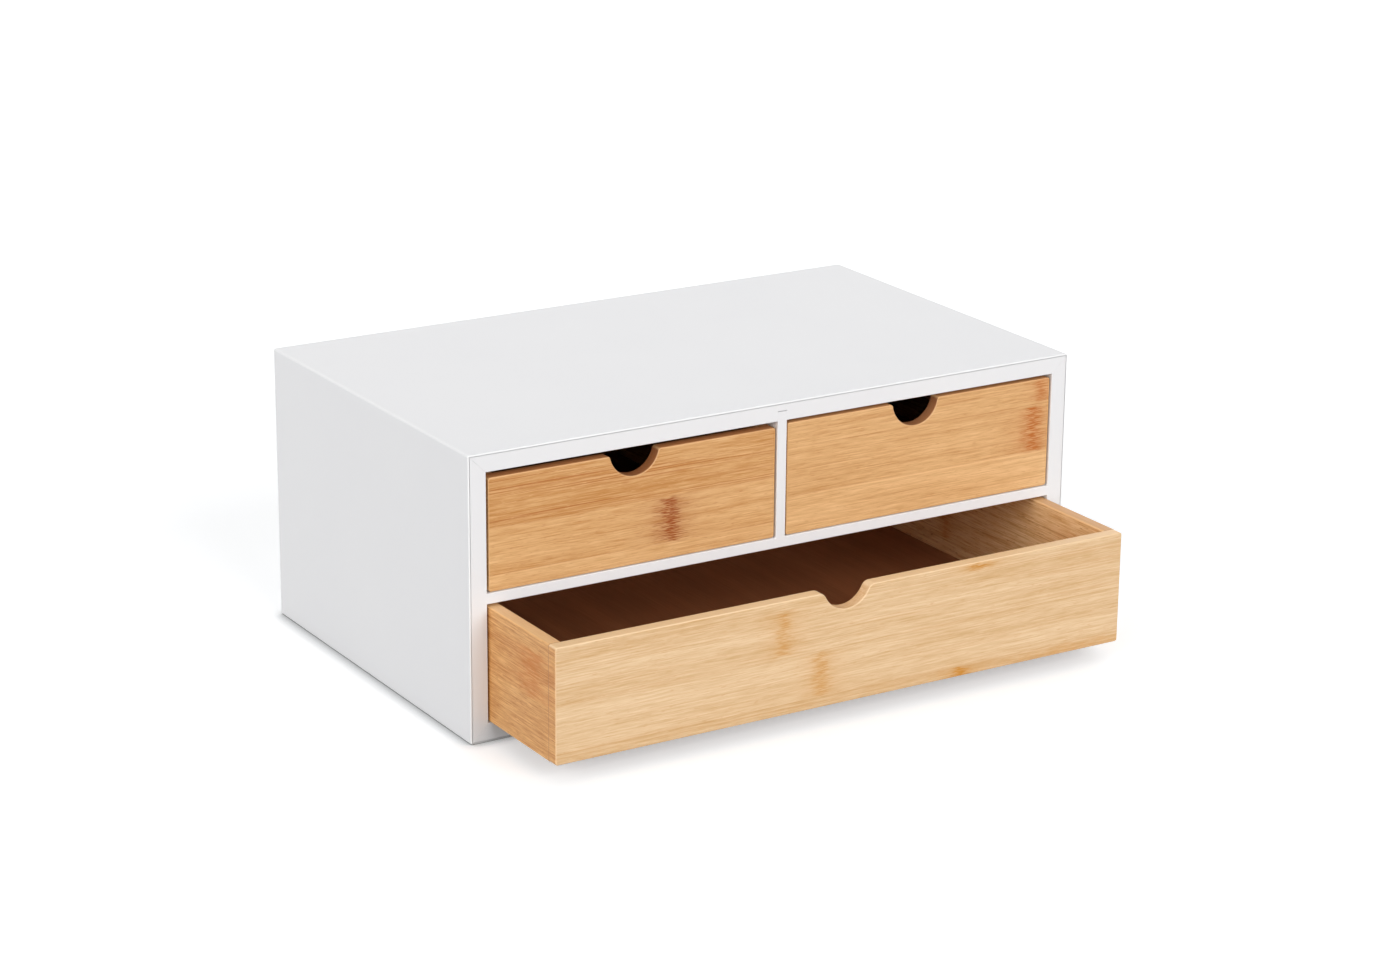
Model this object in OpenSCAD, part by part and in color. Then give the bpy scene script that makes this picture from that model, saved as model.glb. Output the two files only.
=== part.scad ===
// Desktop mini drawers: a white painted cabinet with mitred corners that holds
// two small bamboo drawers side by side over one wide bamboo drawer.
// Millimetres. X runs to the right, the drawers face -Y and Z points up.
// The origin is the centre of the cabinet's underside.

/* [Cabinet] */
// Outside width of the cabinet
cabinet_w = 330; // [260:1:450]
// Outside depth of the cabinet
cabinet_d = 200; // [150:1:300]
// Outside height of the cabinet
cabinet_h = 137; // [125:1:180]
// Thickness of the top, bottom and side panels
panel_t = 9; // [8:0.5:12]
// Thickness of the middle shelf
shelf_t = 5; // [4:0.5:8]
// Thickness of the divider between the small drawers
divider_t = 5; // [4:0.5:8]
// Clear height of the wide drawer's bay, under the shelf
lower_bay_h = 57; // [45:1:66]
// Depth of the housings that hold the shelf's ends and the divider's top
housing_depth = 4.5; // [2:0.5:6]
// Depth of the groove in the shelf that holds the divider's foot
shelf_groove_depth = 1.5; // [0.5:0.25:2.5]
// Width of the small bevel along the cabinet's long outer edges
cabinet_bevel = 0.8; // [0.4:0.1:2]

/* [Back panel] */
// Thickness of the back panel
back_panel_t = 3; // [2:0.5:5]
// Width of the rebate that the back panel lies in
back_rebate = 5; // [3:0.5:6]
// Shaft diameter of a back panel pin
pin_d = 1.2; // [0.8:0.1:1.8]
// Length of a back panel pin under its head
pin_l = 12; // [8:1:20]
// Diameter of a pin's head
pin_head_d = 2.4; // [1.8:0.1:3]
// Thickness of a pin's head, which is driven flush
pin_head_t = 0.8; // [0.5:0.1:1.2]
// Distance from the inner corner of the cabinet to the nearest pin
pin_end = 24; // [12:1:32]
// Number of pins along the top and along the bottom
pins_across = 4; // [2:1:9]
// Number of pins up each side
pins_up = 2; // [2:1:5]

/* [Drawers] */
// Thickness of a drawer's front board
front_t = 6; // [6:0.5:12]
// Thickness of a drawer's side boards
side_t = 6.5; // [6:0.5:10]
// Thickness of a drawer's back board
back_t = 6.5; // [5:0.5:10]
// Thickness of a drawer's bottom board
bottom_t = 3; // [2:0.5:5]
// Height of the bottom board over the lower edge of the drawer
bottom_lift = 3; // [2:0.5:6]
// Depth of the groove that holds the bottom board
bottom_groove = 3.25; // [2:0.25:4.5]
// Depth of the rebate in the side boards that holds the back board
back_lap = 3.25; // [2:0.25:4.5]
// Radius of the front board's corners
front_corner_r = 2; // [1:0.25:4]
// Width of the bevel along the drawer boards' outer edges
board_bevel = 0.6; // [0.4:0.1:1.5]
// Distance that the wide drawer stands open
lower_pull = 61; // [0:1:110]

/* [Running gaps] */
// Gap between a drawer and the bay at each side
side_gap = 0.8; // [0.5:0.1:2]
// Gap under a drawer
slide_gap = 0.3; // [0.2:0.05:0.5]
// Gap over the left small drawer
upper_left_top_gap = 3; // [1:0.1:4]
// Gap over the right small drawer
upper_right_top_gap = 1.8; // [1:0.1:4]
// Gap over the wide drawer
lower_top_gap = 1.4; // [1:0.1:4]
// Gap behind a closed drawer
rear_gap = 0.5; // [0.2:0.1:6]
// Distance that a closed drawer's front lies behind the cabinet's front
front_recess = 0.5; // [0:0.1:3]

/* [Finger notches] */
// Radius of a notch
notch_r = 13; // [9:0.5:18]
// Depth of the left small drawer's notch under the front board's upper edge
upper_left_notch_depth = 11; // [6:0.5:16]
// Depth of the right small drawer's notch
upper_right_notch_depth = 12; // [6:0.5:16]
// Depth of the wide drawer's notch
lower_notch_depth = 9.5; // [6:0.5:16]
// Radius of the rounded shoulders of a small drawer's notch
upper_shoulder_r = 1.5; // [1:0.25:5]
// Radius of the rounded shoulders of the wide drawer's notch
lower_shoulder_r = 4; // [1:0.25:5]
// Place of the left small drawer's notch, right of its front's middle
upper_left_notch_x = 0; // [-10:0.5:10]
// Place of the right small drawer's notch
upper_right_notch_x = -3.5; // [-10:0.5:10]
// Place of the wide drawer's notch
lower_notch_x = -2.5; // [-10:0.5:10]

/* [Dowels] */
// Diameter of a dowel
dowel_d = 4; // [3:0.5:4.5]
// Length of a dowel
dowel_l = 15; // [10:1:24]
// Depth of the dowel holes in the front board
dowel_in_front = 4; // [3:0.5:5]
// Distance from the drawer's lower and upper edges to the dowels
dowel_edge = 14; // [11:0.5:18]

/* [Fits] */
// Glue gap around everything that sits in a groove, housing or rebate
glue_gap = 0.05; // [0.02:0.01:0.15]

/* [Hidden] */

$fn = 48;
// Distance that a cut runs past the surface it opens
past = 1;
// Steps in each small corner arc, and in the notch's arc
corner_steps = 6;
notch_steps = 28;
// Index of the sides in the calls below
LEFT = -1;
RIGHT = 1;

// Colours
paint_white = "#f2f2f0";
bamboo = "#dfb684";
bamboo_ply = "#cfa372";
dowel_beech = "#d8b98c";
pin_steel = "#9a9c9e";

// Cabinet
front_y = -cabinet_d / 2;
rear_y = cabinet_d / 2;
bay_rear_y = rear_y - back_panel_t;
inner_w = cabinet_w - 2 * panel_t;
shelf_z = panel_t + lower_bay_h;
upper_bay_z = shelf_z + shelf_t;
top_under_z = cabinet_h - panel_t;
upper_bay_h = top_under_z - upper_bay_z;
upper_bay_w = (inner_w - divider_t) / 2;
bay_d = bay_rear_y - front_y;

// Drawers: [centre x, front y, lowest z, width, height, notch], with the notch as
// [its centre's distance to the right of the front's middle, depth, shoulder radius]
drawer_d = bay_d - front_recess - rear_gap;
upper_drawer_x = (divider_t + upper_bay_w) / 2;
upper_drawer_w = upper_bay_w - 2 * side_gap;
upper_room_h = upper_bay_h - slide_gap;
closed_y = front_y + front_recess;
UPPER_LEFT = [-upper_drawer_x, closed_y, upper_bay_z + slide_gap,
              upper_drawer_w, upper_room_h - upper_left_top_gap,
              [upper_left_notch_x, upper_left_notch_depth, upper_shoulder_r]];
UPPER_RIGHT = [upper_drawer_x, closed_y, upper_bay_z + slide_gap,
               upper_drawer_w, upper_room_h - upper_right_top_gap,
               [upper_right_notch_x, upper_right_notch_depth, upper_shoulder_r]];
LOWER = [0, closed_y - lower_pull, panel_t + slide_gap,
         inner_w - 2 * side_gap, lower_bay_h - slide_gap - lower_top_gap,
         [lower_notch_x, lower_notch_depth, lower_shoulder_r]];

// The parts of a drawer's list
function drawer_x(d) = d[0];
function drawer_y(d) = d[1];
function drawer_z(d) = d[2];
function drawer_w(d) = d[3];
function drawer_h(d) = d[4];
function drawer_notch(d) = d[5];

// Points along an arc about [cx, cy], from angle a0 to angle a1
function arc(cx, cy, r, a0, a1, steps) =
    [for (i = [0 : steps]) let (a = a0 + (a1 - a0) * i / steps) [cx + r * cos(a), cy + r * sin(a)]];

// A rectangle with bevelled corners, from [x0, y0] to [x1, y1]
function bevelled_rectangle(x0, y0, x1, y1, bevel) = [
    [x0 + bevel, y0], [x1 - bevel, y0], [x1, y0 + bevel], [x1, y1 - bevel],
    [x1 - bevel, y1], [x0 + bevel, y1], [x0, y1 - bevel], [x0, y0 + bevel]
];

// A front board's section across its thickness: the front face on 0 has bevelled edges
function front_section(length) = [
    [0, board_bevel], [board_bevel, 0], [front_t, 0],
    [front_t, length], [board_bevel, length], [0, length - board_bevel]
];

// A front board's outline: a rectangle on z = 0 with round corners and the notch in its top edge.
// Each shoulder arc touches the top edge and the notch's arc.
function front_outline(w, h, notch) =
    let (
        r = front_corner_r,
        notch_x = notch[0],
        s = notch[2],
        notch_z = h + notch_r - notch[1],
        shoulder_z = h - s,
        shoulder_x = sqrt(pow(notch_r + s, 2) - pow(notch_z - shoulder_z, 2)),
        meet = atan2(shoulder_z - notch_z, shoulder_x)
    )
    concat(
        arc(-w / 2 + r, r, r, 180, 270, corner_steps),
        arc(w / 2 - r, r, r, 270, 360, corner_steps),
        arc(w / 2 - r, h - r, r, 0, 90, corner_steps),
        arc(notch_x + shoulder_x, shoulder_z, s, 90, 180 + meet, corner_steps),
        arc(notch_x, notch_z, notch_r, meet, -180 - meet, notch_steps),
        arc(notch_x - shoulder_x, shoulder_z, s, -meet, 90, corner_steps),
        arc(-w / 2 + r, h - r, r, 90, 180, corner_steps)
    );

// A mitred panel's section: outer face on y = 0, body below it, 45 degree ends
function mitred_section(length) =
    let (half = length / 2, b = cabinet_bevel)
    [
        [-half + b, 0], [half - b, 0], [half - b / 2, -b / 2],
        [half - panel_t, -panel_t], [-half + panel_t, -panel_t], [-half + b / 2, -b / 2]
    ];

// Extrudes an x-z outline along Y, from y to y + length
module along_y(y, length) {
    translate([0, y + length, 0]) rotate([90, 0, 0]) linear_extrude(height = length) children();
}

// Extrudes a y-z outline along X, centred
module across_x(length) {
    translate([-length / 2, 0, 0]) rotate([90, 0, 90]) linear_extrude(height = length) children();
}

// A box between two corners
module block(low, high) {
    translate(low) cube(high - low);
}

/* ---- cabinet ---- */

// A mitred panel lying flat with its outer face up at z = 0
module mitred_panel(length) {
    along_y(front_y, cabinet_d) polygon(mitred_section(length));
}

// The space of the shelf, its ends in the side panels' housings
module shelf_space(gap = 0) {
    end_x = inner_w / 2 + housing_depth + gap;
    block([-end_x, front_y - (gap > 0 ? past : 0), shelf_z - gap],
          [end_x, bay_rear_y + gap, upper_bay_z + gap]);
}

// The space of the divider, its top in the top panel and its foot in the shelf
module divider_space(gap = 0) {
    half = divider_t / 2 + gap;
    block([-half, front_y - (gap > 0 ? past : 0), upper_bay_z - shelf_groove_depth - gap],
          [half, bay_rear_y + gap, top_under_z + housing_depth + gap]);
}

// The space of the back panel, in the rebate at the rear
module back_panel_space(gap = 0) {
    half = inner_w / 2 + back_rebate + gap;
    block([-half, bay_rear_y, panel_t - back_rebate - gap],
          [half, rear_y + (gap > 0 ? past : 0), top_under_z + back_rebate + gap]);
}

// Places a child at each pin, at the rear face with +Y out of the cabinet
module at_pins() {
    row_x = inner_w / 2 - pin_end;
    for (i = [0 : pins_across - 1], z = [panel_t - back_rebate / 2, top_under_z + back_rebate / 2])
        translate([-row_x + 2 * row_x * i / (pins_across - 1), rear_y, z]) children();
    low_z = panel_t + pin_end;
    high_z = top_under_z - pin_end;
    for (i = [0 : pins_up - 1], side = [LEFT, RIGHT])
        translate([side * (inner_w + back_rebate) / 2, rear_y,
                   low_z + (high_z - low_z) * i / (pins_up - 1)]) children();
}

// One pin, its head flush with y = 0 and its shaft running along -Y
module pin(gap = 0) {
    rotate([90, 0, 0]) {
        translate([0, 0, gap > 0 ? -past : 0])
            cylinder(d = pin_head_d + 2 * gap, h = pin_head_t + (gap > 0 ? past : 0));
        cylinder(d = pin_d + 2 * gap, h = pin_head_t + pin_l + gap);
    }
}

// What every outer panel loses to the back panel and its pins
module rear_cuts() {
    back_panel_space(glue_gap);
    at_pins() pin(glue_gap);
}

module top_panel() {
    color(paint_white) difference() {
        translate([0, 0, cabinet_h]) mitred_panel(cabinet_w);
        divider_space(glue_gap);
        rear_cuts();
    }
}

module bottom_panel() {
    color(paint_white) difference() {
        mirror([0, 0, 1]) mitred_panel(cabinet_w);
        rear_cuts();
    }
}

module side_panel(side) {
    color(paint_white) difference() {
        translate([side * cabinet_w / 2, 0, cabinet_h / 2])
            rotate([0, side * 90, 0]) mitred_panel(cabinet_h);
        shelf_space(glue_gap);
        rear_cuts();
    }
}

module left_side_panel() {
    side_panel(LEFT);
}

module right_side_panel() {
    side_panel(RIGHT);
}

module middle_shelf() {
    color(paint_white) difference() {
        shelf_space();
        divider_space(glue_gap);
        at_pins() pin(glue_gap);
    }
}

module centre_divider() {
    color(paint_white) difference() {
        divider_space();
        at_pins() pin(glue_gap);
    }
}

module back_panel() {
    color(paint_white) difference() {
        back_panel_space();
        at_pins() pin(glue_gap);
    }
}

module back_panel_pins() {
    color(pin_steel) at_pins() pin();
}

/* ---- drawers: drawn with the front face on y = 0 and the lower edge on z = 0 ---- */

// Moves a drawer's piece to the drawer's place
module in_drawer(d) {
    translate([drawer_x(d), drawer_y(d), drawer_z(d)]) children();
}

// The space of the bottom board, its edges in the four boards' grooves
module bottom_space(d, gap = 0) {
    half = drawer_w(d) / 2 - side_t + bottom_groove + gap;
    block([-half, front_t - bottom_groove - gap, bottom_lift - gap],
          [half, drawer_d - back_t + bottom_groove + gap, bottom_lift + bottom_t + gap]);
}

// The space of the back board, its ends in the side boards' rebates
module back_space(d, gap = 0) {
    half = drawer_w(d) / 2 - side_t + back_lap + gap;
    open = gap > 0 ? past : 0;
    block([-half, drawer_d - back_t - gap, -open],
          [half, drawer_d + open, drawer_h(d) + open]);
}

// The drawer's four front dowels, two in the end of each side board
module dowels(d, gap = 0) {
    for (side = [LEFT, RIGHT], z = [dowel_edge, drawer_h(d) - dowel_edge])
        translate([side * (drawer_w(d) - side_t) / 2, front_t - dowel_in_front - gap, z])
            rotate([-90, 0, 0]) cylinder(d = dowel_d + 2 * gap, h = dowel_l + 2 * gap);
}

module drawer_front(d) {
    color(bamboo) in_drawer(d) difference() {
        intersection() {
            along_y(0, front_t) polygon(front_outline(drawer_w(d), drawer_h(d), drawer_notch(d)));
            linear_extrude(height = drawer_h(d))
                polygon([for (p = front_section(drawer_w(d))) [p[1] - drawer_w(d) / 2, p[0]]]);
            across_x(drawer_w(d)) polygon(front_section(drawer_h(d)));
        }
        bottom_space(d, glue_gap);
        dowels(d, glue_gap);
    }
}

module drawer_side(d, side) {
    middle_x = side * (drawer_w(d) - side_t) / 2;
    color(bamboo) in_drawer(d) difference() {
        along_y(front_t, drawer_d - front_t) polygon(bevelled_rectangle(
            middle_x - side_t / 2, 0, middle_x + side_t / 2, drawer_h(d), board_bevel));
        bottom_space(d, glue_gap);
        back_space(d, glue_gap);
        dowels(d, glue_gap);
    }
}

module drawer_back(d) {
    color(bamboo) in_drawer(d) difference() {
        intersection() {
            back_space(d);
            across_x(drawer_w(d)) polygon(bevelled_rectangle(
                drawer_d - back_t, 0, drawer_d, drawer_h(d), board_bevel));
        }
        bottom_space(d, glue_gap);
    }
}

module drawer_bottom(d) {
    color(bamboo_ply) in_drawer(d) bottom_space(d);
}

module drawer_dowels(d) {
    color(dowel_beech) in_drawer(d) dowels(d);
}

/* ---- nodes ---- */

top_panel();
bottom_panel();
left_side_panel();
right_side_panel();
middle_shelf();
centre_divider();
back_panel();
back_panel_pins();

drawer_front(UPPER_LEFT);  // upper_left_drawer_front
drawer_side(UPPER_LEFT, LEFT);  // upper_left_drawer_left_side
drawer_side(UPPER_LEFT, RIGHT);  // upper_left_drawer_right_side
drawer_back(UPPER_LEFT);  // upper_left_drawer_back
drawer_bottom(UPPER_LEFT);  // upper_left_drawer_bottom
drawer_dowels(UPPER_LEFT);  // upper_left_drawer_dowels

drawer_front(UPPER_RIGHT);  // upper_right_drawer_front
drawer_side(UPPER_RIGHT, LEFT);  // upper_right_drawer_left_side
drawer_side(UPPER_RIGHT, RIGHT);  // upper_right_drawer_right_side
drawer_back(UPPER_RIGHT);  // upper_right_drawer_back
drawer_bottom(UPPER_RIGHT);  // upper_right_drawer_bottom
drawer_dowels(UPPER_RIGHT);  // upper_right_drawer_dowels

drawer_front(LOWER);  // lower_drawer_front
drawer_side(LOWER, LEFT);  // lower_drawer_left_side
drawer_side(LOWER, RIGHT);  // lower_drawer_right_side
drawer_back(LOWER);  // lower_drawer_back
drawer_bottom(LOWER);  // lower_drawer_bottom
drawer_dowels(LOWER);  // lower_drawer_dowels
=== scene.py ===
"""Desktop mini drawers: a white painted cabinet with mitred corners and three bamboo drawers.

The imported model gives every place, in metres, with X to the right, the drawers facing -Y and Z up.
Each board is an outline worked out with numpy and carried along a straight path, with its end edges
rounded over. The finishes are procedural and read object coordinates, which are the model's own.
Lengths are in metres, except where a docstring says millimetres.
"""

import logging
import math
from collections.abc import Callable
from dataclasses import dataclass, replace
from enum import Enum
from typing import Any

import bpy
import numpy as np
from mathutils import Matrix, Vector

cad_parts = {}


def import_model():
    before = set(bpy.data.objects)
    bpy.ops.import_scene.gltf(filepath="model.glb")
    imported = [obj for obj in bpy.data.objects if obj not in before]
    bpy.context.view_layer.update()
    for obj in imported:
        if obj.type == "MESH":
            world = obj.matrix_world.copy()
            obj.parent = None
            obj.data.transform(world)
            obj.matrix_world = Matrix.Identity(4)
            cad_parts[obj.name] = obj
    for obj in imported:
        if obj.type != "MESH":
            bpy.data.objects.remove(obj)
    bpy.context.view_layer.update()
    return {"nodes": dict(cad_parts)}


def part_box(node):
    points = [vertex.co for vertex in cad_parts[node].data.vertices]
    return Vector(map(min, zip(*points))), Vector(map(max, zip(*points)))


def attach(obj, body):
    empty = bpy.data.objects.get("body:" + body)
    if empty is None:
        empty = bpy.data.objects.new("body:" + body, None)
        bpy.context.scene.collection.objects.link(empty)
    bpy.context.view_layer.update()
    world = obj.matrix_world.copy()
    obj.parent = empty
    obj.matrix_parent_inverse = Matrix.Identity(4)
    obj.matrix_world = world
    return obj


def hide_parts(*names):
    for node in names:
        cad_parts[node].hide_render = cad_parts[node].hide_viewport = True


LOG = logging.getLogger("desktop_drawers")

MM = 0.001
# Width of the flat strip beside each rounded edge, which keeps the shading of the large faces flat
FLAT_STRIP = 0.3 * MM
# Steps in each quarter turn of a rounded end edge, and of an outline's round corner
EASE_STEPS = 4
CORNER_STEPS = 6
# Steps in the round of a finger notch, and in the rim of a pin's head
NOTCH_STEPS = 36
RIM_STEPS = 24
# The share of its eases that a rounded end of a board takes, and a square one
ROUND, SQUARE = 1.0, 0.0
# Turn between two faces past which their edge is drawn sharp
SHARP_TURN = math.radians(30)
# Cosine of the turn between two edges past which they run straight on
STRAIGHT = 1 - 1e-7
# Points closer than this are one point
WELD = 1e-7
# Faces smaller than this, in square metres, have collapsed to a line
COLLAPSED = 1e-14
# Name of the attribute that tells how far round a rounded edge a point lies
EDGE_ATTRIBUTE = "edge"

Colour = tuple[float, float, float, float]
BLACK: Colour = (0.0, 0.0, 0.0, 1.0)
WHITE: Colour = (1.0, 1.0, 1.0, 1.0)


def srgb(red: int, green: int, blue: int) -> Colour:
    """A screen colour as the linear colour that a shader takes, by the sRGB curve.

    Args:
        red: Red, from 0 to 255.
        green: Green, from 0 to 255.
        blue: Blue, from 0 to 255.

    Returns:
        The linear colour with full opacity.
    """
    screen = np.array([red, green, blue]) / 255
    linear = np.where(screen <= 0.04045, screen / 12.92, ((screen + 0.055) / 1.055) ** 2.4)
    return (*linear.tolist(), 1.0)


class Body(Enum):
    """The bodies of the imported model."""

    CABINET = "cabinet"
    UPPER_LEFT = "upper_left_drawer"
    UPPER_RIGHT = "upper_right_drawer"
    LOWER = "lower_drawer"


class Hand(Enum):
    """The two side boards of a drawer, by the ends of their nodes' names."""

    LEFT = "left_side"
    RIGHT = "right_side"


class Slot(Enum):
    """The record's material slots."""

    PAINT = "white_painted_mdf"
    BAMBOO = "bamboo_board"
    PLYWOOD = "bamboo_plywood"
    PIN = "steel_pin"


@dataclass(frozen=True)
class Box:
    """The space that a CAD node takes at rest, from its lowest to its highest corner."""

    low: Vector
    high: Vector

    @classmethod
    def of(cls, node: str) -> "Box":
        """The box of one CAD node."""
        return cls(*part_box(node))

    @property
    def size(self) -> Vector:
        """Its extent along each axis."""
        return self.high - self.low

    @property
    def centre(self) -> Vector:
        """Its middle."""
        return (self.high + self.low) / 2


# ---- shapes ------------------------------------------------------------------------------------------


class Facing(Enum):
    """How an outline stands: the row of each tuple is the axis of u, of v and of the path."""

    FRONT = ((1, 0, 0), (0, 0, 1), (0, -1, 0))
    SIDE = ((0, 1, 0), (0, 0, 1), (1, 0, 0))

    def place(self, outlines: np.ndarray, along: np.ndarray) -> np.ndarray:
        """Points (R, N, 3) of outlines (R, N, 2) that stand at R places along the path."""
        places = np.broadcast_to(along[:, None, None], (*outlines.shape[:2], 1))
        return np.concatenate([outlines, places], axis=2) @ np.array(self.value, float)


@dataclass(frozen=True)
class Outline:
    """A closed outline that runs anticlockwise.

    Attributes:
        points: The points, (N, 2).
        eases: How far a rounded end cuts back the edge that leaves each point, (N,).
        turns: How far round a rounded corner each point lies, 1 at its middle, (N,).
    """

    points: np.ndarray
    eases: np.ndarray
    turns: np.ndarray

    def inset(self, share: float, extra: float = 0.0) -> np.ndarray:
        """The outline moved inwards, each edge by its own distance.

        Each point goes to where its two moved edges meet. With the outward normals n and m of the
        edges, their distances a and b, and c = n . m, it moves by ((a - bc) n + (b - ac) m) / (cc - 1).
        Where the edges run on straight it moves by the mean distance against the normal.

        Args:
            share: The share of each edge's ease.
            extra: A distance that is added for every edge.

        Returns:
            The moved points, (N, 2).
        """
        edges = np.roll(self.points, -1, axis=0) - self.points
        normals = np.stack([edges[:, 1], -edges[:, 0]], axis=1)
        normals /= np.linalg.norm(normals, axis=1, keepdims=True)
        after, before = normals, np.roll(normals, 1, axis=0)
        far = self.eases * share + extra
        far_after, far_before = far[:, None], np.roll(far, 1)[:, None]
        cosine = np.sum(after * before, axis=1, keepdims=True)
        straight = cosine > STRAIGHT
        spread = np.where(straight, 1.0, cosine**2 - 1)
        along_before = (far_before - far_after * cosine) * before
        along_after = (far_after - far_before * cosine) * after
        run_on = -(far_after + far_before) / 2 * after
        return self.points + np.where(straight, run_on, (along_before + along_after) / spread)


class Pen:
    """Draws an outline anticlockwise from straight edges and arcs."""

    def __init__(self, u: float, v: float) -> None:
        """Sets the pen down.

        Args:
            u: Where, along u.
            v: Where, along v.
        """
        self._points = [np.array([[u, v]], float)]
        self._eases = [np.zeros(1)]
        self._turns = [np.zeros(1)]

    def _add(self, points: np.ndarray, ease: float, turns: np.ndarray) -> "Pen":
        """Adds points, but not the first one where the pen stands on it.

        Args:
            points: The points, (N, 2).
            ease: The ease of the edges that reach them.
            turns: How far round a rounded corner each point lies, (N,).

        Returns:
            The pen.
        """
        fresh = np.linalg.norm(points[0] - self._points[-1][-1]) > WELD
        first = 0 if fresh else 1
        self._points.append(points[first:])
        self._eases.append(np.full(len(points) - first, ease))
        self._turns.append(turns[first:])
        return self

    def line(self, u: float, v: float, ease: float) -> "Pen":
        """Draws a straight edge to (u, v)."""
        return self._add(np.array([[u, v]], float), ease, np.zeros(1))

    def arc(self, centre: tuple[float, float], radius: float, turn: tuple[float, float], ease: float,
            steps: int = CORNER_STEPS, lead: float = FLAT_STRIP, trail: float = FLAT_STRIP) -> "Pen":
        """Draws an arc: centre + radius (cos a, sin a), with a from the first angle of turn to the second.

        Args:
            centre: The arc's centre.
            radius: Its radius.
            turn: Its first and last angle in degrees.
            ease: How far a rounded end cuts its edges back.
            steps: The number of edges in it.
            lead: Length of the straight strip before it.
            trail: Length of the straight strip after it.

        Returns:
            The pen.
        """
        angles = np.radians(np.linspace(*turn, steps + 1))
        way = np.sign(turn[1] - turn[0])
        points = np.array(centre) + radius * np.stack([np.cos(angles), np.sin(angles)], axis=1)
        tangents = way * np.stack([-np.sin(angles), np.cos(angles)], axis=1)
        turns = np.sin(np.linspace(0, math.pi, steps + 1)) if way > 0 else np.zeros(steps + 1)
        if lead:
            points = np.vstack([points[:1] - lead * tangents[:1], points])
            turns = np.append(0.0, turns)
        if trail:
            points = np.vstack([points, points[-1:] + trail * tangents[-1:]])
            turns = np.append(turns, 0.0)
        return self._add(points, ease, turns)

    def close(self, ease: float) -> Outline:
        """Draws the last edge, back to the first point.

        Args:
            ease: Its ease.

        Returns:
            The finished outline.
        """
        eases = np.concatenate(self._eases)
        eases[0] = ease
        return Outline(np.concatenate(self._points), np.roll(eases, -1), np.concatenate(self._turns))


def rounded_rectangle(low: tuple[float, float], high: tuple[float, float], radius: float, ease: float,
                      split: float | None = None) -> Outline:
    """A rectangle with round corners.

    Args:
        low: Its lowest corner.
        high: Its highest corner.
        radius: The radius of its corners.
        ease: How far a rounded end cuts its edges back.
        split: The u of the points on its lower and upper edges, or None for the middle.

    Returns:
        The outline.
    """
    (u0, v0), (u1, v1), r = low, high, radius
    middle = (u0 + u1) / 2 if split is None else split
    pen = Pen(middle, v0)
    pen.arc((u1 - r, v0 + r), r, (270, 360), ease, lead=0)
    pen.arc((u1 - r, v1 - r), r, (0, 90), ease, trail=0)
    pen.line(middle, v1, ease)
    pen.arc((u0 + r, v1 - r), r, (90, 180), ease, lead=0)
    return pen.arc((u0 + r, v0 + r), r, (180, 270), ease, trail=0).close(ease)


def circle(centre: tuple[float, float], radius: float, ease: float) -> Outline:
    """A circle: centre + radius (cos a, sin a).

    Args:
        centre: Its centre.
        radius: Its radius.
        ease: How far a rounded end cuts its edge back.

    Returns:
        The outline.
    """
    angles = np.linspace(0, 2 * math.pi, RIM_STEPS, endpoint=False)
    points = np.array(centre) + radius * np.stack([np.cos(angles), np.sin(angles)], axis=1)
    return Outline(points, np.full(RIM_STEPS, ease), np.zeros(RIM_STEPS))


@dataclass(frozen=True)
class Rings:
    """Rings of points along a path, with how far round a rounded edge each point lies.

    Attributes:
        points: The rings in the outline's plane, (R, N, 2).
        along: The place of each ring on the path, (R,).
        edge: The share of the way round a rounded edge, 1 at its middle, (R, N).
    """

    points: np.ndarray
    along: np.ndarray
    edge: np.ndarray

    def then(self, other: "Rings") -> "Rings":
        """These rings with another stack after them."""
        pairs = ((getattr(self, name), getattr(other, name)) for name in ("points", "along", "edge"))
        return Rings(*(np.concatenate(pair) for pair in pairs))

    def moved(self, change: Callable[[np.ndarray], np.ndarray]) -> "Rings":
        """The same rings with their points changed by a function of an (R, N, 2) array."""
        return Rings(change(self.points), self.along, self.edge)


def carry(outline: Outline, low: float, high: float, low_share: float, high_share: float) -> Rings:
    """Carries an outline along a path and rounds its two ends over.

    At angle t of an end's quarter turn a ring is inset by s e (1 - sin t) and lies s d (1 - cos t)
    inside the end, where s is the end's share, e the ease of the edge and d the deepest ease. One more
    ring on the end face and one on the sides keep the shading of both flat.

    Args:
        outline: The outline.
        low: The path's first place.
        high: Its last place.
        low_share: The share of the eases at the first end, or SQUARE.
        high_share: The share of the eases at the last end.

    Returns:
        The rings from low to high.
    """
    angles = np.linspace(0, math.pi / 2, EASE_STEPS + 1)
    deepest = outline.eases.max()

    def end(share: float) -> Rings:
        """The rings of one end.

        Args:
            share: The share of the eases at this end.

        Returns:
            The rings, with their depth under the end face as their place.
        """
        if not share:
            return Rings(outline.points[None], np.zeros(1), outline.turns[None])
        insets = [outline.inset(share * (1 - math.sin(a))) for a in angles]
        rounding = share * deepest * (1 - np.cos(angles))
        depths = np.concatenate([[0.0], rounding, [share * deepest + FLAT_STRIP]])
        over = np.concatenate([[0.0], np.sin(2 * angles), [0.0]])
        side = np.concatenate([[0.0], np.sin(angles), [1.0]])
        return Rings(
            points=np.array([outline.inset(share, FLAT_STRIP), *insets, outline.points]),
            along=depths,
            edge=np.maximum(over[:, None], side[:, None] * outline.turns[None, :]),
        )

    first, last = end(low_share), end(high_share)
    return Rings(
        points=np.concatenate([first.points, last.points[::-1]]),
        along=np.concatenate([low + first.along, high - last.along[::-1]]),
        edge=np.concatenate([first.edge, last.edge[::-1]]),
    )


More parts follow.
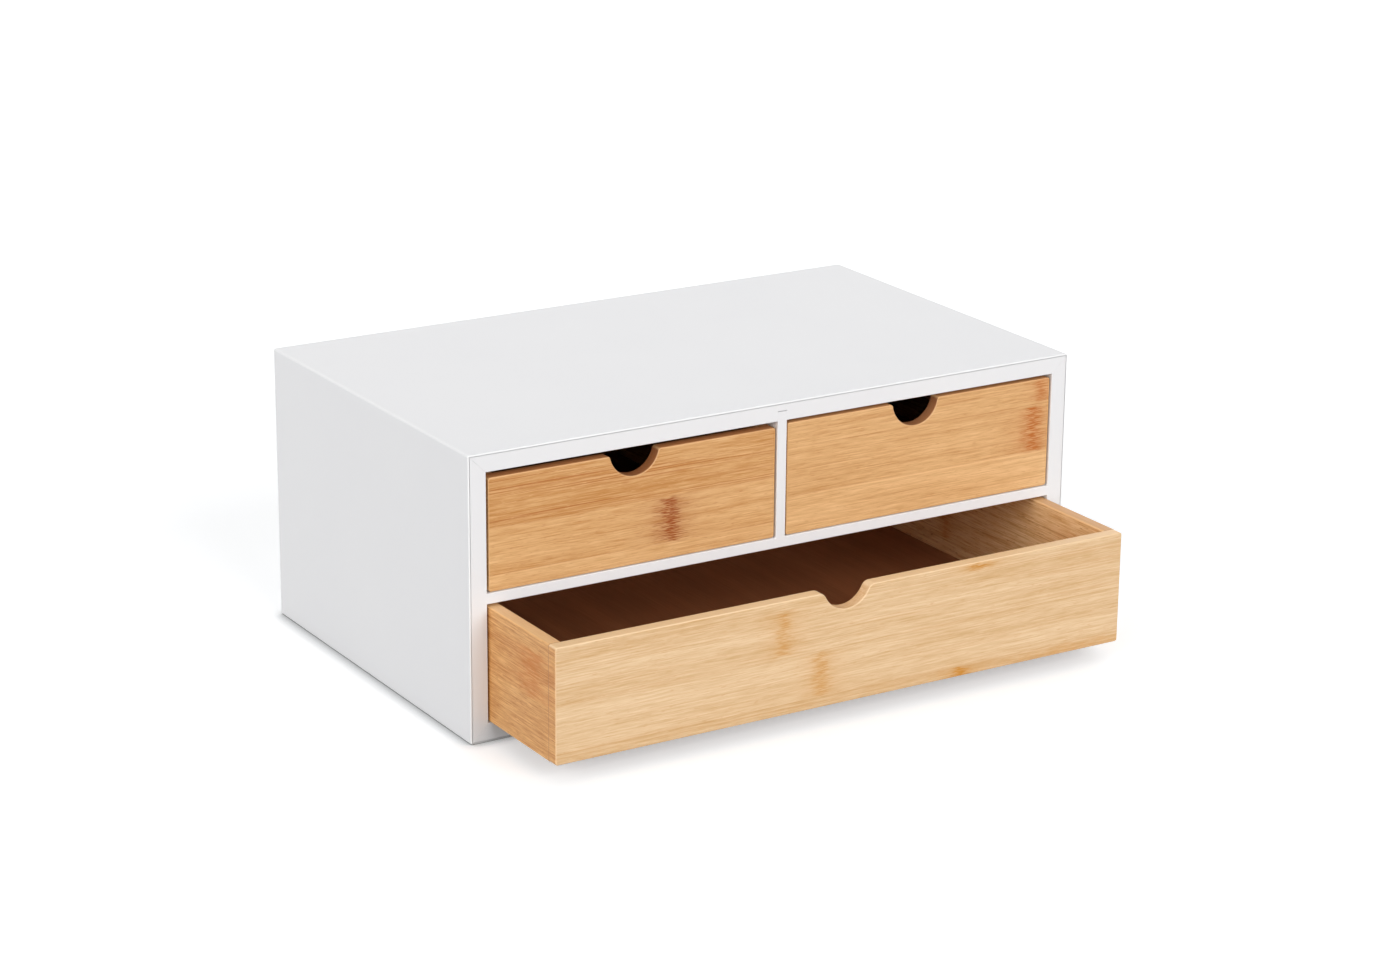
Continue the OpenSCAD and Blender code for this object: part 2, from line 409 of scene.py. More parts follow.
def closed_mesh(facing: Facing, rings: Rings) -> tuple[np.ndarray, list[list[int]], np.ndarray]:
    """The points, faces and edge values of one stack of rings.

    A strip of quads runs between each pair of rings, and a flat face closes each end. Points that lie
    together are one point, and quads that have collapsed to a line are left out.

    Args:
        facing: How the outline stands.
        rings: The rings.

    Returns:
        The points, the faces as indices of points, and each point's value of the edge attribute.
    """
    count = rings.points.shape[1]
    points = facing.place(rings.points, rings.along).reshape(-1, 3)
    whole = np.round(points / WELD).astype(np.int64)
    _, first, same = np.unique(whole, axis=0, return_index=True, return_inverse=True)
    index = same.reshape(-1, count)
    points, edge = points[first], rings.edge.reshape(-1)[first]
    ahead = np.roll(index, -1, axis=1)
    quads = np.stack([index[:-1], ahead[:-1], ahead[1:], index[1:]], axis=2).reshape(-1, 4)
    corners = points[quads]
    areas = np.cross(corners[:, 2] - corners[:, 0], corners[:, 3] - corners[:, 1])
    quads = quads[np.linalg.norm(areas, axis=1) / 2 > COLLAPSED]
    caps = [end[end != np.roll(end, 1)].tolist() for end in (index[0][::-1], index[-1])]
    return points, quads.tolist() + caps, edge


def solid(name: str, facing: Facing, *stacks: Rings) -> bpy.types.Object:
    """An object of one or more closed stacks of rings.

    Args:
        name: The piece's name.
        facing: How the outlines stand.
        stacks: The stacks, each with its rings in order along the path.

    Returns:
        The new object, at the origin with its place in its mesh.
    """
    points, faces, edges = [], [], []
    count = 0
    for rings in stacks:
        part, part_faces, edge = closed_mesh(facing, rings)
        faces += [[i + count for i in face] for face in part_faces]
        points.append(part)
        edges.append(edge)
        count += len(part)
    return mesh_object(name, np.concatenate(points), faces, np.concatenate(edges))


def mesh_object(name: str, points: np.ndarray, faces: list[list[int]], edge: np.ndarray) -> bpy.types.Object:
    """A smooth shaded object whose sharp turns are marked.

    Args:
        name: The object's name.
        points: Its points, (N, 3).
        faces: Its faces, as indices of points.
        edge: Each point's value of the edge attribute.

    Returns:
        The object, linked to the scene.
    """
    mesh = bpy.data.meshes.new(name)
    mesh.from_pydata(points.tolist(), [], faces)
    mesh.attributes.new(EDGE_ATTRIBUTE, "FLOAT", "POINT").data.foreach_set("value", edge.astype(np.float32))
    mesh.polygons.foreach_set("use_smooth", np.ones(len(mesh.polygons), bool))
    mesh.set_sharp_from_angle(angle=SHARP_TURN)
    mesh.update()
    made = bpy.data.objects.new(name, mesh)
    bpy.context.scene.collection.objects.link(made)
    return made


# ---- shader nodes ------------------------------------------------------------------------------------


class Signal:
    """A number that runs through the nodes: arithmetic on it adds Math nodes."""

    def __init__(self, nodes: "Nodes", socket: bpy.types.NodeSocket) -> None:
        """Wraps one output socket."""
        self.nodes = nodes
        self.socket = socket

    def math(self, operation: str, *others: "Signal | float") -> "Signal":
        """One Math node with this number as its first value."""
        values = dict(enumerate((self, *others)))
        return self.nodes.add("ShaderNodeMath", {"operation": operation}, values)

    def _swapped(self, operation: str, other: float) -> "Signal":
        """One Math node with this number as its second value."""
        return self.nodes.add("ShaderNodeMath", {"operation": operation}, {0: other, 1: self})

    def __add__(self, other: "Signal | float") -> "Signal":
        """The sum."""
        return self.math("ADD", other)

    __radd__ = __add__

    def __sub__(self, other: "Signal | float") -> "Signal":
        """The difference."""
        return self.math("SUBTRACT", other)

    def __rsub__(self, other: float) -> "Signal":
        """The difference from a number."""
        return self._swapped("SUBTRACT", other)

    def __mul__(self, other: "Signal | float") -> "Signal":
        """The product."""
        return self.math("MULTIPLY", other)

    __rmul__ = __mul__

    def __truediv__(self, other: "Signal | float") -> "Signal":
        """The quotient."""
        return self.math("DIVIDE", other)

    def __rtruediv__(self, other: float) -> "Signal":
        """The quotient of a number and this one."""
        return self._swapped("DIVIDE", other)

    def step(self, low: float, high: float) -> "Signal":
        """A smooth step.

        Args:
            low: Where it is 0.
            high: Where it is 1, which may be under low.

        Returns:
            The step, from 0 to 1.
        """
        if low > high:
            return 1 - self.step(high, low)
        settings = {"interpolation_type": "SMOOTHSTEP"}
        inputs = {"Value": self, "From Min": low, "From Max": high}
        return self.nodes.add("ShaderNodeMapRange", settings, inputs)

    def bell(self, centre: float, width: float) -> "Signal":
        """A bell curve, exp(-((x - centre) / width)^2)."""
        away = (self - centre) / width
        return (away * away * -1).math("EXPONENT")


class Nodes:
    """The nodes of one material or of the world."""

    def __init__(self, owner: bpy.types.Material | bpy.types.World) -> None:
        """Clears the owner's node tree.

        Args:
            owner: The material or the world.
        """
        owner.use_nodes = True
        self.tree = owner.node_tree
        self.tree.nodes.clear()

    def node(self, kind: str, settings: dict[str, Any] | None = None,
             inputs: dict[str | int, Any] | None = None) -> bpy.types.Node:
        """Adds a node.

        Args:
            kind: The node's type.
            settings: Its properties, set before its sockets. The stops of a ramp are (place, colour).
            inputs: A value or a link for each named or numbered socket.

        Returns:
            The node.
        """
        made = self.tree.nodes.new(kind)
        for name, value in (settings or {}).items():
            if name == "stops":
                self._set_stops(made.color_ramp.elements, value)
            elif name == "ramp":
                made.color_ramp.interpolation = value
            else:
                setattr(made, name, value)
        for key, value in (inputs or {}).items():
            if isinstance(value, Signal):
                value = value.socket
            if isinstance(value, bpy.types.NodeSocket):
                self.tree.links.new(value, made.inputs[key])
            else:
                made.inputs[key].default_value = value
        return made

    @staticmethod
    def _set_stops(elements: bpy.types.ColorRampElements, stops: list[tuple[float, Colour]]) -> None:
        """Gives a ramp its stops.

        Args:
            elements: The ramp's own stops.
            stops: The place and colour of each stop, in order of place.
        """
        for _ in range(len(stops) - len(elements)):
            elements.new(1.0)
        for element, (place, colour) in zip(elements, stops):
            element.position = place
            element.color = colour

    def add(self, kind: str, settings: dict[str, Any] | None = None,
            inputs: dict[str | int, Any] | None = None, output: str | int = 0) -> Signal:
        """Adds a node and gives one of its outputs as a number."""
        return Signal(self, self.node(kind, settings, inputs).outputs[output])

    def mix(self, first: Any, second: Any, factor: Any) -> bpy.types.NodeSocket:
        """The colour between two colours; a factor under 0 counts as 0, and one over 1 as 1."""
        inputs = {0: factor, 6: first, 7: second}
        return self.node("ShaderNodeMix", {"data_type": "RGBA"}, inputs).outputs[2]

    def place(self) -> tuple[Signal, Signal, Signal]:
        """The object coordinates.

        Returns:
            The numbers x, y and z.
        """
        at = self.node("ShaderNodeTexCoord").outputs["Object"]
        split = self.node("ShaderNodeSeparateXYZ", None, {0: at})
        return tuple(Signal(self, split.outputs[i]) for i in range(3))

    def vector(self, x: Any, y: Any, z: Any) -> bpy.types.NodeSocket:
        """A vector of three numbers."""
        return self.node("ShaderNodeCombineXYZ", None, {0: x, 1: y, 2: z}).outputs[0]

    def noise(self, at: bpy.types.NodeSocket, detail: float) -> Signal:
        """Smooth noise around 0, about from -0.5 to 0.5, with features of about one unit."""
        inputs = {"Vector": at, "Scale": 1.0, "Detail": detail}
        return self.add("ShaderNodeTexNoise", None, inputs) - 0.5

    def flecks(self, size: tuple[float, float, float], detail: float = 2.0) -> Signal:
        """Noise around 0 with features of a size along x, y and z in millimetres."""
        places = (place / (side * MM) for place, side in zip(self.place(), size))
        return self.noise(self.vector(*places), detail)

    def edge(self) -> Signal:
        """How far round a rounded edge the surface lies."""
        return self.add("ShaderNodeAttribute", {"attribute_name": EDGE_ATTRIBUTE}, output="Fac")

    def bump(self, height: Signal, distance: float) -> bpy.types.NodeSocket:
        """A normal bent by a height from -0.5 to 0.5 that stands for the given distance."""
        return self.node("ShaderNodeBump", None, {"Height": height, "Distance": distance}).outputs[0]

    def finish(self, **sockets: Any) -> None:
        """Ends a material in one Principled shader.

        Args:
            sockets: A value or link for each socket, with _ for the blanks in its name.
        """
        inputs = {name.replace("_", " "): value for name, value in sockets.items()}
        shader = self.node("ShaderNodeBsdfPrincipled", None, inputs)
        self.node("ShaderNodeOutputMaterial", None, {"Surface": shader.outputs[0]})


# ---- finishes ----------------------------------------------------------------------------------------


@dataclass(frozen=True)
class Sheen:
    """How a finish takes the light.

    Attributes:
        rough: Its roughness.
        by_figure: What its figure, from -0.5 to 0.5, adds to that.
        by_edge: What a rounded edge adds to that.
        relief: The height that the relief's whole range stands for.
        specular: The level of what it mirrors, 0.5 for a plain surface.
        ior: Its index of refraction.
        metallic: 1 for a metal, or else 0.
    """

    rough: float
    by_figure: float
    by_edge: float = 0.0
    relief: float = 0.03 * MM
    specular: float = 0.5
    ior: float = 1.5
    metallic: float = 0.0

    def finish(self, nodes: Nodes, colour: bpy.types.NodeSocket, figure: Signal, height: Signal) -> None:
        """Ends a material.

        Args:
            nodes: The material's nodes.
            colour: Its colour.
            figure: What changes its roughness.
            height: The height of its relief, from -0.5 to 0.5.
        """
        roughness = figure * self.by_figure + self.rough
        if self.by_edge:
            roughness = roughness + nodes.edge() * self.by_edge
        nodes.finish(
            Base_Color=colour,
            Roughness=roughness,
            Normal=nodes.bump(height, self.relief),
            Specular_IOR_Level=self.specular,
            IOR=self.ior,
            Metallic=self.metallic,
        )


@dataclass(frozen=True)
class SatinPaint:
    """Sprayed satin paint with soft clouds, a faint orange peel, slightly polished edges, and a painted
    highlight on those edges.

    Attributes:
        name: The material's name.
        shade: Its darker colour.
        body: Its lighter colour.
        painted_edge_highlight: The painted highlight on a rounded edge: the colour painted there.
        edge_highlight_strength: How strongly that painted highlight shows.
        clouds: The size of its clouds along x, y and z, in millimetres.
        middle: Where it lies between its two colours where there is no cloud.
        peel: The size of its orange peel along x, y and z, in millimetres.
        sheen: How it takes the light.
    """

    name: str = "white_satin_paint"
    shade: Colour = srgb(231, 231, 233)
    body: Colour = srgb(235, 235, 236)
    # Painted highlight: the lighter colour on rounded edges
    painted_edge_highlight: Colour = srgb(241, 241, 241)
    edge_highlight_strength: float = 0.8
    clouds: tuple[float, float, float] = (60, 60, 60)
    middle: float = 0.62
    peel: tuple[float, float, float] = (1.4, 1.4, 1.4)
    sheen: Sheen = Sheen(rough=0.42, by_figure=0.08, by_edge=-0.1, relief=0.006 * MM, specular=0.35)

    def material(self) -> bpy.types.Material:
        """Builds the paint.

        Returns:
            The material.
        """
        made = bpy.data.materials.new(self.name)
        nodes = Nodes(made)
        clouds = nodes.flecks(self.clouds)
        colour = nodes.mix(self.shade, self.body, clouds + self.middle)
        # Painted highlight: a lighter colour on the rounded edges
        colour = nodes.mix(colour, self.painted_edge_highlight, nodes.edge() * self.edge_highlight_strength)
        self.sheen.finish(nodes, colour, clouds, nodes.flecks(self.peel, detail=1.0))
        return made


@dataclass(frozen=True)
class Flecked:
    """A finish between two colours, with flecks drawn out along an axis.

    Attributes:
        name: The material's name.
        dark: Its dark colour.
        light: Its light colour.
        flecks: The size of its flecks along x, y and z, in millimetres.
        contrast: How strongly the flecks colour it.
        middle: Where it lies between its two colours where there is no fleck.
        sheen: How it takes the light.
        detail: The detail of its flecks.
        clouds: The size of its clouds along x, y and z, in millimetres, or None.
        cloudy: How strongly the clouds colour it.
    """

    name: str
    dark: Colour
    light: Colour
    flecks: tuple[float, float, float]
    contrast: float
    middle: float
    sheen: Sheen
    detail: float = 2.0
    clouds: tuple[float, float, float] | None = None
    cloudy: float = 0.0

    def material(self) -> bpy.types.Material:
        """Builds the finish.

        Returns:
            The material.
        """
        made = bpy.data.materials.new(self.name)
        nodes = Nodes(made)
        flecks = nodes.flecks(self.flecks, self.detail)
        tone = flecks * self.contrast + self.middle
        if self.clouds:
            tone = tone + nodes.flecks(self.clouds, detail=1.0) * self.cloudy
        self.sheen.finish(nodes, nodes.mix(self.dark, self.light, tone), flecks, flecks)
        return made


# Thin bamboo plywood: wide flat figure with fine fibres; its dark red-brown colours are partly painted
# shade, matched to the shaded insides of the drawers
BAMBOO_PLYWOOD = Flecked(
    name="bamboo_plywood", dark=srgb(134, 80, 48), light=srgb(166, 106, 68),
    flecks=(0.7, 30, 0.7), contrast=0.8, middle=0.5, clouds=(9, 160, 9), cloudy=0.9,
    sheen=Sheen(rough=0.55, by_figure=-0.2, ior=1.45),
)
# Plain beech with short dark flecks along the dowel
BEECH_DOWEL = Flecked(
    name="beech_dowel", dark=srgb(190, 148, 106), light=srgb(219, 184, 143),
    flecks=(0.4, 4, 0.4), contrast=1.4, middle=0.6,
    sheen=Sheen(rough=0.62, by_figure=-0.2),
)
# Drawn steel pins, their heads scuffed by the hammer
BRIGHT_STEEL = Flecked(
    name="bright_steel", dark=srgb(140, 142, 145), light=srgb(196, 198, 200),
    flecks=(0.3, 2, 0.5), contrast=1.0, middle=0.5, detail=3.0,
    sheen=Sheen(rough=0.34, by_figure=0.3, relief=0.02 * MM, metallic=1.0),
)


# ---- bamboo ------------------------------------------------------------------------------------------

# The waves of the fibres: how many in a metre along and across the grain, and their height
WAVES_ALONG, WAVES_ACROSS, WAVE_HEIGHT = 9, 14, 2 * MM
# The canes of the strips are cut from a span of the noise, in metres, each one a step of it further on
CANE_SPAN, CANE_STEP = 3, 0.37
# How strongly the broad clouds of fibres colour a board
BROAD_CONTRAST = 0.8
# Where in their noise the long streaks and the short fibres begin to show and are in full colour
STREAK_RANGE = (0.06, 0.17)
DASH_RANGE = (0.12, 0.3)
# Half the width of a glued seam, and how strongly it shows
SEAM_WIDTH, SEAM_STRENGTH = 0.16 * MM, 0.35
# Where under the upper edge the painted light or shade of its face begins and is full, and how strongly it
# shows
PAINTED_TOP_RANGE, PAINTED_TOP_STRENGTH = (0.4 * MM, 0.1 * MM), 0.8
# How far inside the board's box its sawn ends' colour is full, and over what length it comes in
END_DEPTH, END_BLEND = 0.15 * MM, 0.35 * MM
# Where past the notch's radius its wall's colour, end grain and on the upper drawers painted shade, begins
# and is full
NOTCH_RANGE = (0.4 * MM, 0.1 * MM)
# How strongly the notch's wall takes its colour, and how much of that comes and goes with the fibres
NOTCH_COVER, NOTCH_FIBRES = 0.92, 0.4
# How strongly the light colour is painted on a rounded edge, as a painted highlight
BAMBOO_EDGE_HIGHLIGHT = 0.6
# Clear lacquer
BAMBOO_SHEEN = Sheen(rough=0.47, by_figure=-0.12, by_edge=-0.06, ior=1.45)


class Grain(Enum):
    """The axis that a board's grain follows, then the axis across its width and the one through it."""

    ALONG_X = (0, 2, 1)
    ALONG_Y = (1, 2, 0)


class Layer(Enum):
    """A layer of fibres: their length and thickness in millimetres, and the detail of their noise."""

    FINE = (11, 0.55, 3.0)
    MIDDLE = (42, 1.5, 2.0)
    BROAD = (170, 9, 1.0)
    STREAKS = (150, 0.75, 1.0)
    DASHES = (4.5, 0.55, 1.0)
    RING_ENDS = (9, 1.2, 2.0)
    RING_SIDES = (16, 0.6, 2.0)
    RING_DASHES = (5.5, 0.42, 2.0)


@dataclass(frozen=True)
class Fibres:
    """Noise drawn out along the grain of one board.

    Attributes:
        nodes: The nodes of the material that shows it.
        start: The place along the board's cane.
        level: The place across the grain, on the waves of the fibres.
        through: The place through the board.
    """

    nodes: Nodes
    start: Signal
    level: Signal
    through: Signal

    def of(self, layer: Layer) -> Signal:
        """One layer of the fibres.

        Args:
            layer: The layer.

        Returns:
            Noise around 0.
        """
        length, thickness, detail = layer.value
        thick = thickness * MM
        at = self.nodes.vector(self.start / (length * MM), self.level / thick, self.through / thick)
        return self.nodes.noise(at, detail)


@dataclass(frozen=True)
class Strip:
    """One bamboo strip of a glued board.

    Attributes:
        low: The height of its lower edge over the board's lower edge, in millimetres.
        tone: Its tone, from 0, dark, to 1, light; 0.5 is the board's own.
        streaks: The strength of its long dark streaks, from 0 to 1.
    """

    low: float
    tone: float
    streaks: float = 0.2


@dataclass(frozen=True)
class CaneRing:
    """The mark of a ring of the cane: a short band of dark fibres across a strip.

    Attributes:
        along: Its place along the grain, in millimetres from the board's start.
        low: The height of its lower end over the board's lower edge, in millimetres.
        high: The height of its upper end, in millimetres.
        width: Half its width in millimetres.
        strength: Its depth of colour, from 0 to 1.
        fade_out: How far its ends fade out past its strip.
        fade_in: How far inside its strip they are in full colour.
        ragged_ends: How far its ends run up and down with the fibres.
        ragged_sides: How far its sides run along the fibres.
        glow_width: The width of the soft glow around it, over its own.
        dash_share: What its core, its glow and the fibres add to its dark dashes.
        dash_range: Where in their sum the dashes begin to show and are in full colour.
        colour_share: What its glow and its core add to its colour where there is no dash.
        dash_colour: What its core adds to the colour of a dash, and what the dash has of its own.
    """

    along: float
    low: float
    high: float
    width: float
    strength: float
    fade_out: float = 0.6 * MM
    fade_in: float = 1.6 * MM
    ragged_ends: float = 5 * MM
    ragged_sides: float = 9 * MM
    glow_width: float = 2.3
    dash_share: tuple[float, float, float] = (0.3, 0.26, 2.2)
    dash_range: tuple[float, float] = (0.3, 0.68)
    colour_share: tuple[float, float] = (0.26, 0.14)
    dash_colour: tuple[float, float] = (0.36, 0.32)

    def mask(self, along: Signal, up: Signal, fibres: Fibres, start: float) -> Signal:
        """How strongly the ring colours the surface: a soft glow, and short dark fibres close together.

        Args:
            along: The place along the grain.
            up: The height over the board's lower edge.
            fibres: The board's fibres.
            start: The board's start along the grain.

        Returns:
            A mask from 0 to 1.
        """
        ragged = up + fibres.of(Layer.RING_ENDS) * self.ragged_ends
        low, high, width = self.low * MM, self.high * MM, self.width * MM
        window = ragged.step(low - self.fade_out, low + self.fade_in)
        window = window * ragged.step(high + self.fade_out, high - self.fade_in)
        place = along + fibres.of(Layer.RING_SIDES) * self.ragged_sides
        centre = start + self.along * MM
        glow, core = place.bell(centre, width * self.glow_width), place.bell(centre, width)
        by_core, by_glow, by_fibres = self.dash_share
        dashes = core * by_core + glow * by_glow + fibres.of(Layer.RING_DASHES) * by_fibres
        glow_colour, core_colour = self.colour_share
        dash_by_core, dash_own = self.dash_colour
        dashed = dashes.step(*self.dash_range) * (core * dash_by_core + dash_own)
        return window * (glow * glow_colour + core * core_colour + dashed) * self.strength


@dataclass(frozen=True)
class Cane:
    """The look of a board's bamboo.

    Attributes:
        dark: Its darkest common colour.
        light: Its lightest common colour.
        streak: The colour of its dark streaks.
        ring: The colour of a cane ring.
        end: The colour of its sawn ends and of the notch's wall, which on the upper drawers is painted
            shade.
        top: The colour painted on its upper edge face as painted light: lighter for a painted highlight,
            darker for painted shade.
        strips: Its strips, from the lowest up.
        rings: Its cane rings.
        seed: Where in the noise it is cut from.
        fine: The contrast of its finest fibres.
        dashes: The strength of its short dark and light fibres.
        notch_tint: How strongly the notch's wall takes the end colour: slightly, as end grain, on the lower
            drawer, and strongly, as painted shade, on the upper ones.
    """

    dark: Colour
    light: Colour
    streak: Colour
    ring: Colour
    end: Colour
    top: Colour
    strips: tuple[Strip, ...]
    rings: tuple[CaneRing, ...]
    seed: float
    fine: float = 1.1
    dashes: float = 0.5
    notch_tint: float = 0.0


@dataclass(frozen=True)
class Bamboo:
    """Clear lacquered bamboo: strips of fine fibres, glued edge to edge.

    Attributes:
        name: The material's name.
        cane: The look of its bamboo.
        grain: The axes of the board.
        board: The board's box.
        start: Where along the grain the places of the cane rings are measured from.
        notch: The notch's centre along and across the grain and its radius, or None.
        ends: The boards whose figures its low and high sawn ends carry on, or None for plain ends.
    """

    name: str
    cane: Cane
    grain: Grain
    board: Box
    start: float
    notch: tuple[float, float, float] | None = None
    ends: "tuple[Bamboo, Bamboo] | None" = None

    def material(self) -> bpy.types.Material:
        """Builds the finish of one board.

        Returns:
            The material.
        """
        made = bpy.data.materials.new(self.name)
        nodes = Nodes(made)
        axes = nodes.place()
        along, across, _ = (axes[i] for i in self.grain.value)
        colour, relief = self.figure(nodes, axes)
        for side, board in zip((-1, 1), self.ends or (None, None)):
            end = board.figure(nodes, axes)[0] if board else self.cane.end
            colour = nodes.mix(colour, end, self._sawn(along, side))
        if self.notch:
            # The notch's wall: end grain, and on the upper drawers painted shade
            cover = relief * NOTCH_FIBRES + NOTCH_COVER
            colour = nodes.mix(colour, self.cane.end, self._notch_wall(along, across) * cover)
        # Painted highlight: the light colour on the rounded edges
        colour = nodes.mix(colour, self.cane.light, nodes.edge() * BAMBOO_EDGE_HIGHLIGHT)
        BAMBOO_SHEEN.finish(nodes, colour, relief, relief)
        return made

    def figure(
        self, nodes: Nodes, axes: tuple[Signal, Signal, Signal]
    ) -> tuple[bpy.types.NodeSocket, Signal]:
        """The board's figure.

        Args:
            nodes: The nodes of the material that shows it.
            axes: The object coordinates.

        Returns:
            Its colour, and the height of its fibres around 0.
        """
        cane = self.cane
        along, across, through = (axes[i] for i in self.grain.value)
        up = across - self.board.low[self.grain.value[1]]
        tone, streaky, start = self._strip_values(nodes, up, along)
        waves = nodes.vector(start * WAVES_ALONG, across * WAVES_ACROSS, through * WAVES_ACROSS)
        fibres = Fibres(nodes, start, across + nodes.noise(waves, detail=1.0) * WAVE_HEIGHT, through)
        fine, middle, short = (fibres.of(layer) for layer in (Layer.FINE, Layer.MIDDLE, Layer.DASHES))
        tone = tone + fine * cane.fine + middle + fibres.of(Layer.BROAD) * BROAD_CONTRAST
        colour = nodes.mix(cane.dark, cane.light, tone)
        colour = nodes.mix(colour, cane.streak, fibres.of(Layer.STREAKS).step(*STREAK_RANGE) * streaky)
        shows, full = DASH_RANGE
        colour = nodes.mix(colour, cane.streak, short.step(shows, full) * cane.dashes)
        colour = nodes.mix(colour, cane.light, short.step(-shows, -full) * cane.dashes)
        for strip in cane.strips[1:]:
            seam = up.bell(strip.low * MM, SEAM_WIDTH)
            colour = nodes.mix(colour, cane.streak, seam * SEAM_STRENGTH)
        for ring in cane.rings:
            colour = nodes.mix(colour, cane.ring, ring.mask(along, up, fibres, self.start))
        # The upper edge face takes its painted highlight or painted shade
        return nodes.mix(colour, cane.top, self._top(up) * PAINTED_TOP_STRENGTH), fine + middle

    def _strip_values(self, nodes: Nodes, up: Signal, along: Signal) -> tuple[Signal, Signal, Signal]:
        """What the strip at a height has of its own, by the stops of one ramp.

        Args:
            nodes: The nodes of the material.
            up: The height over the board's lower edge.
            along: The place along the grain.

        Returns:
            The strip's tone, its streakiness, and the place along its own cane.
        """
        height = self.board.size[self.grain.value[1]]
        stops = [(strip.low * MM / height, (strip.tone, strip.streaks, (i * CANE_STEP) % 1, 1.0))
                 for i, strip in enumerate(self.cane.strips)]
        settings = {"ramp": "CONSTANT", "stops": stops}
        ramp = nodes.node("ShaderNodeValToRGB", settings, {0: up / height})
        split = nodes.node("ShaderNodeSeparateColor", None, {0: ramp.outputs[0]})
        tone, streaky, shift = (Signal(nodes, split.outputs[i]) for i in range(3))
        return tone, streaky, along + shift * CANE_SPAN + self.cane.seed

    def _top(self, up: Signal) -> Signal:
        """Where the upper edge face's painted light or shade shows: 1 on that face, or else 0."""
        height = self.board.size[self.grain.value[1]]
        return up.step(*(height - under for under in PAINTED_TOP_RANGE))

    def _sawn(self, along: Signal, side: int) -> Signal:
        """Where a sawn end shows.

        Args:
            along: The place along the grain.
            side: -1 for the end at the low side, 1 for the one at the high side.

        Returns:
            1 on the end, or else 0.
        """
        axis = self.grain.value[0]
        full = self.board.size[axis] / 2 - END_DEPTH
        away = (along - self.board.centre[axis]) * side
        return away.step(full - END_BLEND, full)

    def _notch_wall(self, along: Signal, across: Signal) -> Signal:
        """Where the notch's wall shows, with its end grain and, on the upper drawers, painted shade.

        Args:
            along: The place along the grain.
            across: The place across it.

        Returns:
            The notch's tint on its wall, or else 0.
        """
        centre_along, centre_across, radius = self.notch
        away_along, away_across = along - centre_along, across - centre_across
        away = (away_along * away_along + away_across * away_across).math("SQRT")
        return away.step(*(radius + past for past in NOTCH_RANGE)) * self.cane.notch_tint


# ---- the cabinet -------------------------------------------------------------------------------------


class Wall(Enum):
    """An outer panel, by the quarter turns that take the bottom panel's section to it."""

    BOTTOM = 0
    RIGHT = 1
    TOP = 2
    LEFT = 3

    @property
    def node(self) -> str:
        """The CAD node of this panel."""
        upright = self in (Wall.LEFT, Wall.RIGHT)
        return f"{self.name.lower()}_side_panel" if upright else f"{self.name.lower()}_panel"


